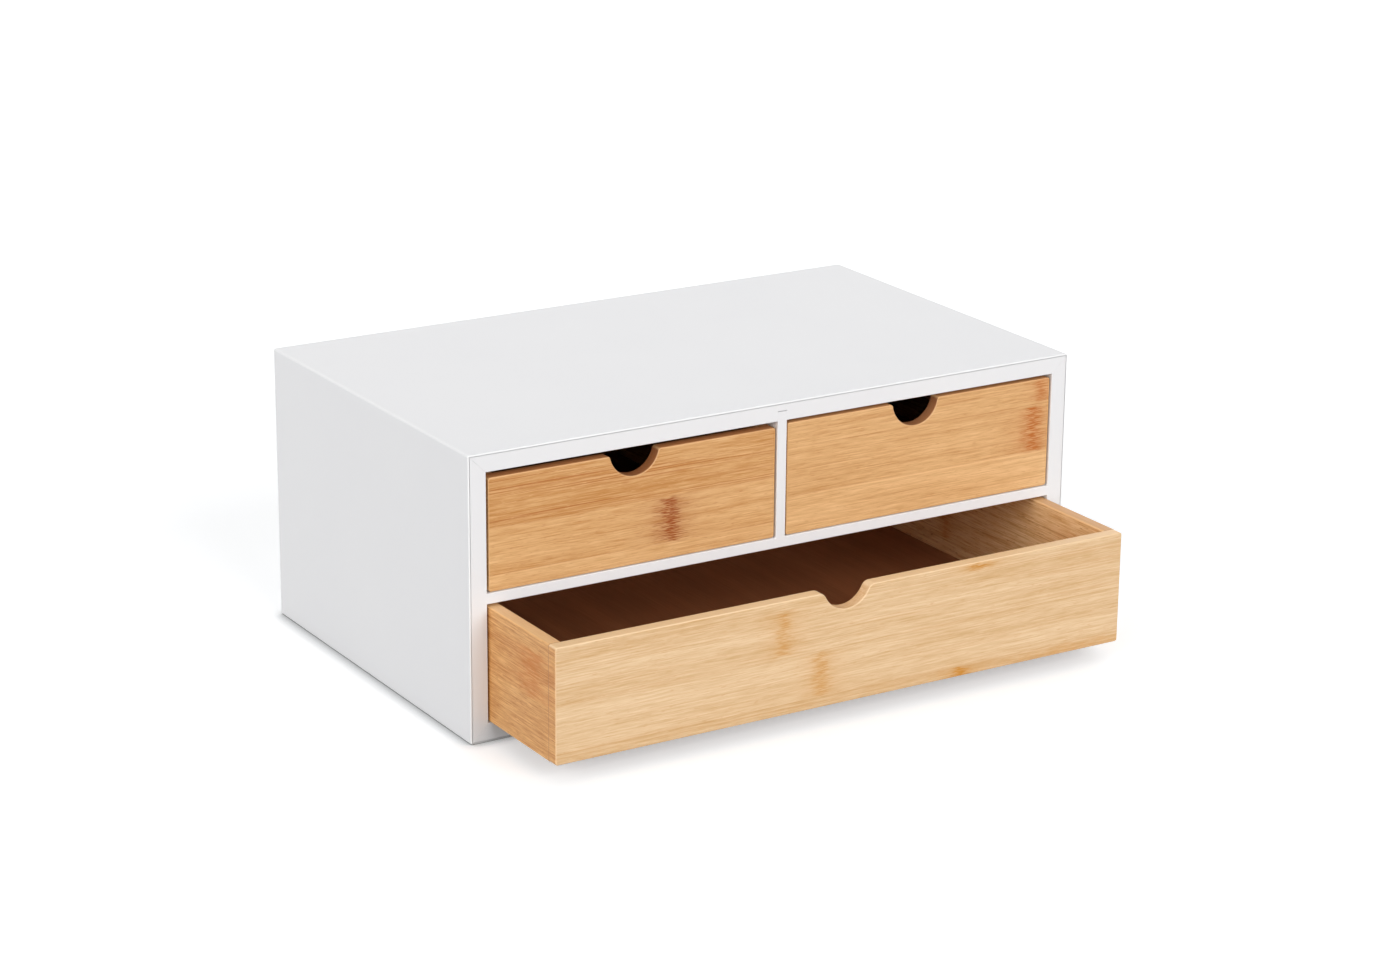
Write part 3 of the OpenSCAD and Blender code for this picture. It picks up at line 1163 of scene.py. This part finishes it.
@dataclass
class Cabinet:
    """The cabinet: four mitred panels, a shelf, a divider, and a back panel held by pins.

    Attributes:
        paint: The finish of the panels.
        steel: The finish of the pins.
        corner: The radius of the long outer edges.
        outer_ease: How far the front and rear outer edges are rounded.
        inner_ease: How far the inner edges are rounded.
        hairline: How far the panels' mitred ends are rounded, which leaves a hairline at each corner.
        rear_ease: How far the back panel's edges are rounded.
        rear_corner: The radius of the back panel's corners.
        slot_gap: The gap over the divider's tongue, in the top panel.
        slot_end: The distance from the slot's closed end to the back panel.
        back_sink: How far the back panel lies under the pins' heads.
        pin_radius: The radius of a pin's head.
        pin_ease: How far a head's rim is rounded.
        pin_head: The thickness of a pin's head.
        pin_end: The distance from the inner corner to the nearest pin.
        pins_across: The number of pins along the top and along the bottom.
        pins_up: The number of pins up each side.
    """

    paint: bpy.types.Material
    steel: bpy.types.Material
    corner: float = 1 * MM
    outer_ease: float = 0.6 * MM
    inner_ease: float = 0.2 * MM
    hairline: float = 0.03 * MM
    rear_ease: float = 0.25 * MM
    rear_corner: float = 0.6 * MM
    slot_gap: float = 0.25 * MM
    slot_end: float = 0.5 * MM
    back_sink: float = 0.08 * MM
    pin_radius: float = 1.2 * MM
    pin_ease: float = 0.3 * MM
    pin_head: float = 0.8 * MM
    pin_end: float = 24 * MM
    pins_across: int = 4
    pins_up: int = 2

    def __post_init__(self) -> None:
        """Reads the sizes from the frame."""
        self.top = Box.of("top_panel")
        self.back = Box.of("back_panel")
        self.divider = Box.of("centre_divider")
        self.shelf = Box.of("middle_shelf")
        self.width = Box.of(Wall.RIGHT.node).high.x - Box.of(Wall.LEFT.node).low.x
        self.height = self.top.high.z
        self.front_y = self.top.low.y
        self.rear_y = self.top.high.y
        self.panel = self.top.size.z
        self.lip = self.width / 2 - self.back.high.x
        self.inner_half = self.width / 2 - self.panel
        self.tongue = self.divider.high.z - self.top.low.z

    def build(self) -> None:
        """Builds and dresses every piece of the cabinet."""
        for wall in Wall:
            dress(self._panel(wall), Body.CABINET, self.paint, wall.node)
        dress(self._shelf(), Body.CABINET, self.paint, "middle_shelf")
        dress(self._divider(), Body.CABINET, self.paint, "centre_divider")
        dress(self._back(), Body.CABINET, self.paint, "back_panel")
        dress(self._pins(), Body.CABINET, self.steel, "back_panel_pins")

    def _section(self, half: float, slotted: bool) -> Outline:
        """A mitred panel's section: a runs along the panel, b is the depth under its outer face.

        The outer face ends in the middle of each corner's arc, at r (1 - cos 45) from both outer faces,
        and each mitre runs from there through the lip's inner corner to the panel's inner corner.

        Args:
            half: Half the panel's length.
            slotted: Whether the slot for the divider's tongue is cut into it.

        Returns:
            The outline.
        """
        r, t, seam = self.corner, self.panel, self.hairline
        inwards = r * (1 - math.sqrt(0.5))
        pen = Pen(-half + self.lip, self.lip)
        pen.line(-half + inwards, inwards, seam)
        pen.arc((-half + r, r), r, (225, 270), self.outer_ease, CORNER_STEPS // 2, lead=0)
        pen.arc((half - r, r), r, (270, 315), self.outer_ease, CORNER_STEPS // 2, trail=0)
        pen.line(half - self.lip, self.lip, seam)
        pen.line(half - t, t, seam)
        if slotted:
            tip, slot = self.divider.size.x / 2, t - self.tongue - self.slot_gap
            pen.line(tip, t, self.inner_ease)
            pen.line(tip, slot, 0.0)
            pen.line(-tip, slot, self.inner_ease)
            pen.line(-tip, t, 0.0)
        pen.line(-half + t, t, self.inner_ease)
        return pen.close(seam)

    def _panel(self, wall: Wall) -> bpy.types.Object:
        """One outer panel, with the rebate for the back panel and, in the top, the divider's slot.

        Args:
            wall: Which panel it is.

        Returns:
            The piece.
        """
        upright = wall in (Wall.LEFT, Wall.RIGHT)
        half = (self.height if upright else self.width) / 2
        section = self._section(half, wall is Wall.TOP)
        a, b = section.points.T
        step = -self.back.low.y
        sunk = np.maximum(b - self.lip, 0.0)
        at_corner = np.abs(a) > half - self.panel - FLAT_STRIP
        to_lip = np.stack([np.sign(a) * sunk * at_corner, -sunk], axis=1)
        in_slot = (np.abs(a) < self.divider.size.x) & (sunk > 0)
        fill = np.stack([np.zeros_like(b), np.where(in_slot, self.panel - b, 0.0)], axis=1)
        lip_right = int(np.argmax(sunk > WELD)) - 1

        def rear_shape(points: np.ndarray) -> np.ndarray:
            """Leaves only the lip, and draws the points of the mitre together at its inner corners.

            Args:
                points: The points, (R, N, 2).

            Returns:
                The moved points.
            """
            moved = points + to_lip
            moved[:, 0], moved[:, lip_right] = moved[:, -1], moved[:, lip_right + 1]
            return moved

        rings = carry(section, -self.rear_y, step, ROUND, SQUARE).moved(rear_shape)
        start = step
        if wall is Wall.TOP:
            start = step + self.slot_end
            filled = carry(section, step, start, SQUARE, SQUARE).moved(lambda points: points + fill)
            rings = rings.then(filled)
        rings = rings.then(carry(section, start, -self.front_y, SQUARE, ROUND))
        cosine, sine = ((1, 0), (0, 1), (-1, 0), (0, -1))[wall.value]
        turn = np.array([[cosine, sine], [-sine, cosine]], float)
        shift = np.array([sine * self.width / 2, (1 - cosine) * self.height / 2])
        return solid(f"{wall.node}_painted", Facing.FRONT, rings.moved(lambda points: points @ turn + shift))

    def _shelf(self) -> bpy.types.Object:
        """The shelf, which runs into the rounded inner edges of the side panels.

        Returns:
            The piece.
        """
        half = self.inner_half + self.inner_ease
        low, high = (-half, self.shelf.low.z), (half, self.shelf.high.z)
        outline = Pen(*low).line(high[0], low[1], self.inner_ease).line(*high, 0.0)
        outline = outline.line(low[0], high[1], self.inner_ease).close(0.0)
        return solid("middle_shelf_painted", Facing.FRONT, self._to_back(outline))

    def _divider(self) -> bpy.types.Object:
        """The divider, with the tongue that goes up into the top panel's slot.

        The ease of its edges shrinks to a half where they meet the top panel, and to a third at the tip.

        Returns:
            The piece.
        """
        half, ease = self.divider.size.x / 2, self.inner_ease
        foot = self.shelf.high.z - ease
        blend = self.top.low.z - FLAT_STRIP
        outline = Pen(-half, foot).line(half, foot, 0.0).line(half, blend, ease)
        outline = outline.line(half, self.top.low.z, ease / 2).line(half, self.divider.high.z, 0.0)
        outline = outline.line(-half, self.divider.high.z, ease / 3).line(-half, self.top.low.z, 0.0)
        outline = outline.line(-half, blend, ease / 2).close(ease)
        return solid("centre_divider_painted", Facing.FRONT, self._to_back(outline))

    def _to_back(self, outline: Outline) -> Rings:
        """Carries an outline from the back panel to the cabinet's front."""
        return carry(outline, -self.back.low.y, -self.front_y, SQUARE, ROUND)

    def _back(self) -> bpy.types.Object:
        """The back panel, with lightly sanded edges.

        Returns:
            The piece.
        """
        low, high = self.back.low, self.back.high
        outline = rounded_rectangle((low.x, low.z), (high.x, high.z), self.rear_corner, self.rear_ease)
        rings = carry(outline, self.back_sink - high.y, -low.y, ROUND, SQUARE)
        return solid("back_panel_painted", Facing.FRONT, rings)

    def _pins(self) -> bpy.types.Object:
        """The pins' heads: round, flat and a hair proud of the back panel.

        Returns:
            The piece.
        """
        low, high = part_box("back_panel_pins")
        row = self.inner_half - self.pin_end
        rise = self.height / 2 - self.panel - self.pin_end
        across = [(x, z) for x in np.linspace(-row, row, self.pins_across)
                  for z in (low.z + self.pin_radius, high.z - self.pin_radius)]
        upright = [(x, self.height / 2 + z) for z in np.linspace(-rise, rise, self.pins_up)
                   for x in (low.x + self.pin_radius, high.x - self.pin_radius)]
        rims = [circle(place, self.pin_radius, self.pin_ease) for place in across + upright]
        heads = [carry(rim, -self.rear_y, self.pin_head - self.rear_y, ROUND, SQUARE) for rim in rims]
        return solid("back_panel_pin_heads", Facing.FRONT, *heads)


def dress(piece: bpy.types.Object, body: Body, finish: bpy.types.Material, node: str) -> None:
    """Gives a piece its finish and its place in the model.

    Args:
        piece: The piece.
        body: The body that it rides on.
        finish: Its material.
        node: The CAD node that it stands for.
    """
    piece.data.materials.append(finish)
    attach(piece, body.value)
    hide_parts(node)
    LOG.info("%s: %d faces on %s", piece.name, len(piece.data.polygons), body.value)


# ---- the drawers -------------------------------------------------------------------------------------


# A darker, streaky upper strip and one strong cane ring; its dark top and notch wall colours are painted
# shade under the cabinet's top panel
UPPER_LEFT_CANE = Cane(
    dark=srgb(192, 133, 70), light=srgb(232, 187, 132), streak=srgb(176, 104, 46),
    ring=srgb(150, 70, 14), end=srgb(146, 80, 48), top=srgb(186, 120, 72),
    strips=(Strip(0, 0.78), Strip(7.7, 0.56, 0.1), Strip(30, 0.34, 0.8)),
    rings=(CaneRing(95, 7.7, 30, 6.5, 0.95),),
    seed=1.7, fine=1.4, notch_tint=0.8,
)
# Even strips, with a cane ring close to the right edge; its dark top and notch wall colours are painted
# shade under the cabinet's top panel
UPPER_RIGHT_CANE = Cane(
    dark=srgb(196, 142, 84), light=srgb(234, 189, 134), streak=srgb(182, 116, 56),
    ring=srgb(180, 92, 8), end=srgb(150, 84, 52), top=srgb(208, 150, 98),
    strips=(Strip(0, 0.74), Strip(18.7, 0.48), Strip(42.5, 0.53)),
    rings=(CaneRing(142.5, 18.7, 42, 6, 0.85), CaneRing(147, 43, 56, 5, 0.7)),
    seed=4.1, fine=1.5, notch_tint=0.8,
)
# Light strips, two faint cane rings near the middle and three along the upper and lower edges; its light top
# colour is a painted highlight
LOWER_CANE = Cane(
    dark=srgb(206, 162, 108), light=srgb(240, 209, 169), streak=srgb(202, 142, 78),
    ring=srgb(202, 136, 44), end=srgb(196, 142, 92), top=srgb(240, 204, 158),
    strips=(Strip(0, 0.4, 0.3), Strip(5.2, 0.57, 0.15), Strip(27.8, 0.52, 0.25), Strip(50.6, 0.54)),
    rings=(
        CaneRing(118.5, 28, 50.5, 5, 0.6),
        CaneRing(139, 5.4, 27.6, 5, 0.65),
        CaneRing(226.5, 50.6, 56, 6.5, 0.9),
        CaneRing(217, -1, 5, 6, 1.1),
        CaneRing(282, -1, 5, 34, 0.4),
    ),
    seed=7.3, fine=1.15, dashes=0.4, notch_tint=0.2,
)
# The side boards are warmer and a little darker than the fronts; the left one's light top colour is a
# painted highlight
LEFT_SIDE_CANE = Cane(
    dark=srgb(187, 122, 60), light=srgb(234, 181, 117), streak=srgb(170, 100, 38),
    ring=srgb(196, 108, 16), end=srgb(176, 118, 74), top=srgb(234, 192, 142),
    strips=(Strip(0, 0.6, 0.3), Strip(13, 0.52, 0.3), Strip(36, 0.46, 0.45)),
    rings=(CaneRing(15, 25, 48, 12, 0.6), CaneRing(128, 13, 36, 4, 0.6)),
    seed=11.9, fine=2.2, dashes=0.8,
)
# The right ones are lighter, as painted light for their lit inner faces, and their top colour is darker, as
# painted shade
RIGHT_SIDE_CANE = replace(
    LEFT_SIDE_CANE, dark=srgb(210, 154, 96), light=srgb(244, 204, 152), top=srgb(206, 158, 106)
)
SIDE_CANES = {Hand.LEFT: LEFT_SIDE_CANE, Hand.RIGHT: RIGHT_SIDE_CANE}
# The back boards are plain, with small cane rings; their light top colour is a painted highlight
BACK_CANE = Cane(
    dark=srgb(192, 138, 84), light=srgb(232, 186, 132), streak=srgb(172, 112, 62),
    ring=srgb(156, 94, 50), end=srgb(176, 118, 74), top=srgb(228, 184, 134),
    strips=(Strip(0, 0.46), Strip(20, 0.54), Strip(43, 0.48)),
    rings=(CaneRing(40, 20, 43, 4, 0.6), CaneRing(-112, -1, 20, 4, 0.5)),
    seed=15.2,
)


@dataclass(frozen=True)
class Notch:
    """A finger notch: a round cut between two round shoulders.

    Attributes:
        shift: How far its centre lies to the right of the front board's middle.
        depth: Its depth under the board's upper edge.
        shoulder: The radius of its shoulders.
        radius: Its radius.
        ease: How far its edges are rounded.
    """

    shift: float
    depth: float
    shoulder: float
    radius: float = 13 * MM
    ease: float = 0.5 * MM

    def centre(self, front: Box) -> tuple[float, float]:
        """The x and z of its centre on a front board."""
        return front.centre.x + self.shift, front.high.z + self.radius - self.depth


@dataclass(frozen=True)
class Front:
    """What a drawer has of its own, most of it in its front.

    Attributes:
        notch: Its finger notch.
        cane: The look of its bamboo.
        play: How much more room the drawer leaves beside its left boards.
    """

    notch: Notch
    cane: Cane
    play: float = 0.0


FRONTS = {
    Body.UPPER_LEFT: Front(
        notch=Notch(shift=0, depth=11 * MM, shoulder=1.5 * MM), cane=UPPER_LEFT_CANE, play=0.5 * MM
    ),
    Body.UPPER_RIGHT: Front(
        notch=Notch(shift=-3.5 * MM, depth=12 * MM, shoulder=1.5 * MM), cane=UPPER_RIGHT_CANE
    ),
    Body.LOWER: Front(
        notch=Notch(shift=-2.5 * MM, depth=9.5 * MM, shoulder=4 * MM), cane=LOWER_CANE
    ),
}


@dataclass
class Drawer:
    """A drawer: a front board with a finger notch, two side boards, a back board and a bottom board.

    Attributes:
        body: The body that it is.
        plywood: The finish of the bottom board.
        beech: The finish of the dowels.
        corner: The radius of the front board's corners.
        front_ease: How far the front face's edges are rounded.
        rear_share: The share of that for the front board's inner edges.
        side_round: The radius of the side and back boards' long edges.
        back_ease: How far the back board's ends are rounded.
        groove: How far the bottom board goes into the boards around it.
        bottom_ease: How far the bottom board's ends are rounded.
    """

    body: Body
    plywood: bpy.types.Material
    beech: bpy.types.Material
    corner: float = 1.2 * MM
    front_ease: float = 0.6 * MM
    rear_share: float = 0.08
    side_round: float = 0.8 * MM
    back_ease: float = 0.1 * MM
    groove: float = 0.5 * MM
    bottom_ease: float = 0.15 * MM

    def __post_init__(self) -> None:
        """Reads the sizes from the frame."""
        self.front, self.back = Box.of(self._node("front")), Box.of(self._node("back"))
        self.bottom = Box.of(self._node("bottom"))
        self.sides = {hand: Box.of(self._node(hand.value)) for hand in Hand}
        self.notch, self.play = FRONTS[self.body].notch, FRONTS[self.body].play

    def _node(self, part: str) -> str:
        """The CAD node of one of its boards."""
        return f"{self.body.value}_{part}"

    def build(self, nodes: dict[str, bpy.types.Object]) -> None:
        """Builds and dresses its boards, and dresses its dowels.

        Args:
            nodes: The frame's CAD nodes.
        """
        self._dress(self._front(), self._front_bamboo().material(), "front")
        for hand in Hand:
            self._dress(self._side(hand), self._side_bamboo(hand).material(), hand.value)
        self._dress(self._back(), self._back_bamboo().material(), "back")
        self._dress(self._bottom(), self.plywood, "bottom")
        dowels = nodes[self._node("dowels")]
        dowels.data.materials.clear()
        dowels.data.materials.append(self.beech)
        LOG.info("%s: %d faces on %s", dowels.name, len(dowels.data.polygons), self.body.value)

    def _dress(self, board: bpy.types.Object, finish: bpy.types.Material, part: str) -> None:
        """Dresses one of its boards."""
        dress(board, self.body, finish, self._node(part))

    def _front_bamboo(self) -> Bamboo:
        """The finish of the front board, whose sawn ends carry on the figures of the side boards.

        Returns:
            The finish.
        """
        notch = (*self.notch.centre(self.front), self.notch.radius)
        sides = (self._side_bamboo(Hand.LEFT), self._side_bamboo(Hand.RIGHT))
        name, cane = f"bamboo_{self.body.value}_front", FRONTS[self.body].cane
        return Bamboo(name, cane, Grain.ALONG_X, self.front, self.front.low.x, notch, sides)

    def _side_bamboo(self, hand: Hand) -> Bamboo:
        """The finish of a side board."""
        name, board = f"bamboo_{self.body.value}_{hand.value}", self.sides[hand]
        return Bamboo(name, SIDE_CANES[hand], Grain.ALONG_Y, board, board.low.y)

    def _back_bamboo(self) -> Bamboo:
        """The finish of the back board, whose cane rings are measured from the cabinet's middle."""
        return Bamboo(f"bamboo_back_{round(self.back.low.z / MM)}", BACK_CANE, Grain.ALONG_X, self.back, 0.0)

    def _front_outline(self) -> Outline:
        """The front board's outline: round corners, and the notch's arc between two round shoulders.

        Each shoulder's centre lies one shoulder radius under the upper edge, and as far from the
        notch's centre as the two radii together, so that the arcs run into each other.

        Returns:
            The outline.
        """
        low, high, notch = self.front.low, self.front.high, self.notch
        r, s, ease = self.corner, notch.shoulder, self.front_ease
        middle, notch_z = notch.centre(self.front)
        shoulder_z = high.z - s
        reach = math.sqrt((notch.radius + s) ** 2 - (notch_z - shoulder_z) ** 2)
        meet = math.degrees(math.atan2(shoulder_z - notch_z, reach))
        left = low.x + self.play
        pen = Pen(middle, low.z)
        pen.arc((high.x - r, low.z + r), r, (270, 360), ease)
        pen.arc((high.x - r, high.z - r), r, (0, 90), ease)
        pen.arc((middle + reach, shoulder_z), s, (90, 180 + meet), notch.ease, trail=0)
        pen.arc((middle, notch_z), notch.radius, (meet, -180 - meet), notch.ease,
                steps=NOTCH_STEPS, lead=0, trail=0)
        pen.arc((middle - reach, shoulder_z), s, (-meet, 90), notch.ease, lead=0)
        pen.arc((left + r, high.z - r), r, (90, 180), ease)
        return pen.arc((left + r, low.z + r), r, (180, 270), ease).close(ease)

    def _front(self) -> bpy.types.Object:
        """The front board."""
        rings = carry(self._front_outline(), -self.front.high.y, -self.front.low.y, self.rear_share, ROUND)
        return solid(f"{self._node('front')}_board", Facing.FRONT, rings)

    def _side(self, hand: Hand) -> bpy.types.Object:
        """A side board, cut to half its thickness where the back board's end laps it.

        Args:
            hand: Which side board it is.

        Returns:
            The piece.
        """
        box, left = self.sides[hand], hand is Hand.LEFT
        lap = self.back.low.x if left else self.back.high.x
        low, high = (box.low.x + self.play * left, box.low.z), (box.high.x, box.high.z)
        keep = np.minimum if left else np.maximum

        def cut(points: np.ndarray) -> np.ndarray:
            """Leaves only the outer half of the thickness."""
            return np.stack([keep(points[..., 0], lap), points[..., 1]], axis=-1)

        outline = rounded_rectangle(low, high, self.side_round, 0.0, lap)
        step = -self.back.low.y
        rear = carry(outline, -box.high.y, step, SQUARE, SQUARE).moved(cut)
        rings = rear.then(carry(outline, step, -box.low.y, SQUARE, SQUARE))
        return solid(f"{self._node(hand.value)}_board", Facing.FRONT, rings)

    def _back(self) -> bpy.types.Object:
        """The back board, whose ends lie in the side boards.

        Returns:
            The piece.
        """
        low, high = self.back.low, self.back.high
        outline = rounded_rectangle((low.y, low.z), (high.y, high.z), self.side_round, self.back_ease)
        return solid(f"{self._node('back')}_board", Facing.SIDE, carry(outline, low.x, high.x, ROUND, ROUND))

    def _bottom(self) -> bpy.types.Object:
        """The bottom board, with its edges just inside the boards around it.

        Returns:
            The piece.
        """
        low, high = self.bottom.low, self.bottom.high
        left, right = self.sides[Hand.LEFT].high.x - self.groove, self.sides[Hand.RIGHT].low.x + self.groove
        ends = (self.front.high.y - self.groove, self.back.low.y + self.groove)
        outline = rounded_rectangle((ends[0], low.z), (ends[1], high.z), self.groove, self.bottom_ease)
        return solid(f"{self._node('bottom')}_board", Facing.SIDE, carry(outline, left, right, ROUND, ROUND))


# ---- the studio --------------------------------------------------------------------------------------


def towards(azimuth: float, elevation: float) -> Vector:
    """The way (sin a cos e, -cos a cos e, sin e) to a place at azimuth a and elevation e.

    Args:
        azimuth: Its azimuth in degrees, from the front towards the right.
        elevation: Its height over the horizon in degrees.

    Returns:
        The way to it from the origin, of length 1.
    """
    turn, rise = math.radians(azimuth), math.radians(elevation)
    return Vector((math.sin(turn) * math.cos(rise), -math.cos(turn) * math.cos(rise), math.sin(rise)))


@dataclass(frozen=True)
class Sun:
    """A far lamp.

    Attributes:
        azimuth: Where it stands, in degrees from the front towards the right.
        elevation: Its height over the horizon in degrees.
        strength: Its strength.
        spread: Its width in degrees, which softens its shadows.
        mirrored: Whether glossy surfaces mirror it.
    """

    azimuth: float
    elevation: float
    strength: float
    spread: float
    mirrored: bool = True

    def build(self, name: str) -> None:
        """Adds the lamp.

        Args:
            name: Its name.
        """
        lamp = bpy.data.lights.new(name, "SUN")
        lamp.energy = self.strength
        lamp.angle = math.radians(self.spread)
        made = bpy.data.objects.new(name, lamp)
        made.visible_glossy = self.mirrored
        bpy.context.scene.collection.objects.link(made)
        made.rotation_euler = towards(self.azimuth, self.elevation).to_track_quat("Z", "Y").to_euler()


@dataclass(frozen=True)
class View:
    """The camera.

    Attributes:
        azimuth: Where it stands, in degrees from the front towards the right.
        elevation: Its height over the horizon in degrees.
        roll: How far it leans to the left, in degrees.
        place: Its place along its own right, up and back axes.
        lens: Its focal length in millimetres.
        sensor: The width of its sensor in millimetres.
        clip: The nearest and the farthest distance that it sees.
    """

    azimuth: float = -31.79
    elevation: float = 17.99
    roll: float = 0.54
    place: tuple[float, float, float] = (0.01534, 0.06757, 1.76358)
    lens: float = 91.1
    sensor: float = 36.0
    clip: tuple[float, float] = (0.01, 100.0)

    def build(self) -> None:
        """Adds the camera and makes it the scene's."""
        back = towards(self.azimuth, self.elevation)
        turn, roll = math.radians(self.azimuth), math.radians(self.roll)
        level = Vector((math.cos(turn), math.sin(turn), 0.0))
        upright = back.cross(level)
        right = math.cos(roll) * level + math.sin(roll) * upright
        up = math.cos(roll) * upright - math.sin(roll) * level
        axes = Matrix((right, up, back)).transposed()
        data = bpy.data.cameras.new("photo_view")
        data.lens, data.sensor_width, data.sensor_fit = self.lens, self.sensor, "HORIZONTAL"
        data.clip_start, data.clip_end = self.clip
        camera = bpy.data.objects.new("photo_view", data)
        bpy.context.scene.collection.objects.link(camera)
        camera.matrix_world = Matrix.Translation(axes @ Vector(self.place)) @ axes.to_4x4()
        bpy.context.scene.camera = camera


@dataclass(frozen=True)
class Studio:
    """A white floor under soft, almost even light.

    Attributes:
        floor_half: Half the floor's width.
        floor_drop: How far it lies under the cabinet, so that no two faces share a plane.
        floor_colour: The floor's colour where it is seen.
        floor_bounce: Its colour for the light that it throws back on the object.
        floor_lift: What is added to it where it is seen, so that it is white away from shadows.
        contact: How far the painted contact shadow reaches where something stands on it.
        contact_samples: The number of rays that look for what stands on it.
        ambient: The strength of the light from all round.
        suns: The lamps.
    """

    floor_half: float = 8.0
    floor_drop: float = 0.1 * MM
    floor_colour: Colour = (0.82, 0.83, 0.84, 1.0)
    floor_bounce: Colour = (0.28, 0.28, 0.28, 1.0)
    floor_lift: float = 0.385
    contact: float = 8 * MM
    contact_samples: int = 8
    ambient: float = 0.4
    suns: tuple[Sun, ...] = (
        Sun(azimuth=10, elevation=23, strength=1.86, spread=40),
        Sun(azimuth=-75, elevation=11, strength=2.43, spread=60),
        Sun(azimuth=145, elevation=6, strength=2.0, spread=60, mirrored=False),
    )

    def build(self) -> None:
        """Adds the floor, the lamps and the world, and sets the plain view of colours."""
        self._floor()
        self._world()
        for number, sun in enumerate(self.suns, 1):
            sun.build(f"soft_sun_{number}")
        bpy.context.scene.view_settings.view_transform = "Standard"

    @staticmethod
    def _seen(nodes: Nodes) -> Signal:
        """Where the camera, a reflection or a clear surface sees the floor or the world.

        Args:
            nodes: The nodes of its material or of the world.

        Returns:
            1 where it is seen, or else 0.
        """
        path = nodes.node("ShaderNodeLightPath")
        kinds = ("Camera", "Glossy", "Transmission")
        rays = [Signal(nodes, path.outputs[f"Is {kind} Ray"]) for kind in kinds]
        return (rays[0] + rays[1] + rays[2]).math("MINIMUM", 1.0)

    def _floor(self) -> None:
        """Adds the floor: a wide square of plain matt white, with a painted contact shadow around what
        stands on it.
        """
        half, z = self.floor_half, -self.floor_drop
        corners = np.array([[-half, -half, z], [half, -half, z], [half, half, z], [-half, half, z]])
        floor = mesh_object("studio_floor", corners, [[0, 1, 2, 3]], np.zeros(4))
        material = bpy.data.materials.new("studio_floor")
        nodes = Nodes(material)
        seen = self._seen(nodes)
        settings, inputs = {"samples": self.contact_samples}, {"Distance": self.contact}
        # Painted contact shadow: ambient occlusion darkens the floor's colour and its lift
        open_sky = nodes.add("ShaderNodeAmbientOcclusion", settings, inputs, "AO")
        lit = nodes.mix(BLACK, self.floor_colour, open_sky)
        colour = nodes.mix(self.floor_bounce, lit, seen)
        diffuse = nodes.node("ShaderNodeBsdfDiffuse", None, {"Color": colour})
        lift = nodes.node("ShaderNodeEmission", None, {"Strength": seen * open_sky * self.floor_lift})
        both = nodes.node("ShaderNodeAddShader", None, {0: diffuse.outputs[0], 1: lift.outputs[0]})
        nodes.node("ShaderNodeOutputMaterial", None, {"Surface": both.outputs[0]})
        floor.data.materials.append(material)

    def _world(self) -> None:
        """Makes the world: even ambient light, and plain white where it is seen."""
        world = bpy.data.worlds.new("studio_world")
        bpy.context.scene.world = world
        nodes = Nodes(world)
        strength = self._seen(nodes) * (1 - self.ambient) + self.ambient
        light = nodes.node("ShaderNodeBackground", None, {"Color": WHITE, "Strength": strength})
        nodes.node("ShaderNodeOutputWorld", None, {"Surface": light.outputs[0]})


def main() -> None:
    """Builds the studio, the cabinet and the drawers around the frame."""
    logging.basicConfig(level=logging.INFO, format="%(name)s: %(message)s")
    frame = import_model()
    View().build()
    Studio().build()
    Cabinet(paint=SatinPaint().material(), steel=BRIGHT_STEEL.material()).build()
    plywood, beech = BAMBOO_PLYWOOD.material(), BEECH_DOWEL.material()
    for body in FRONTS:
        Drawer(body, plywood, beech).build(frame["nodes"])


if __name__ == "__main__":
    main()
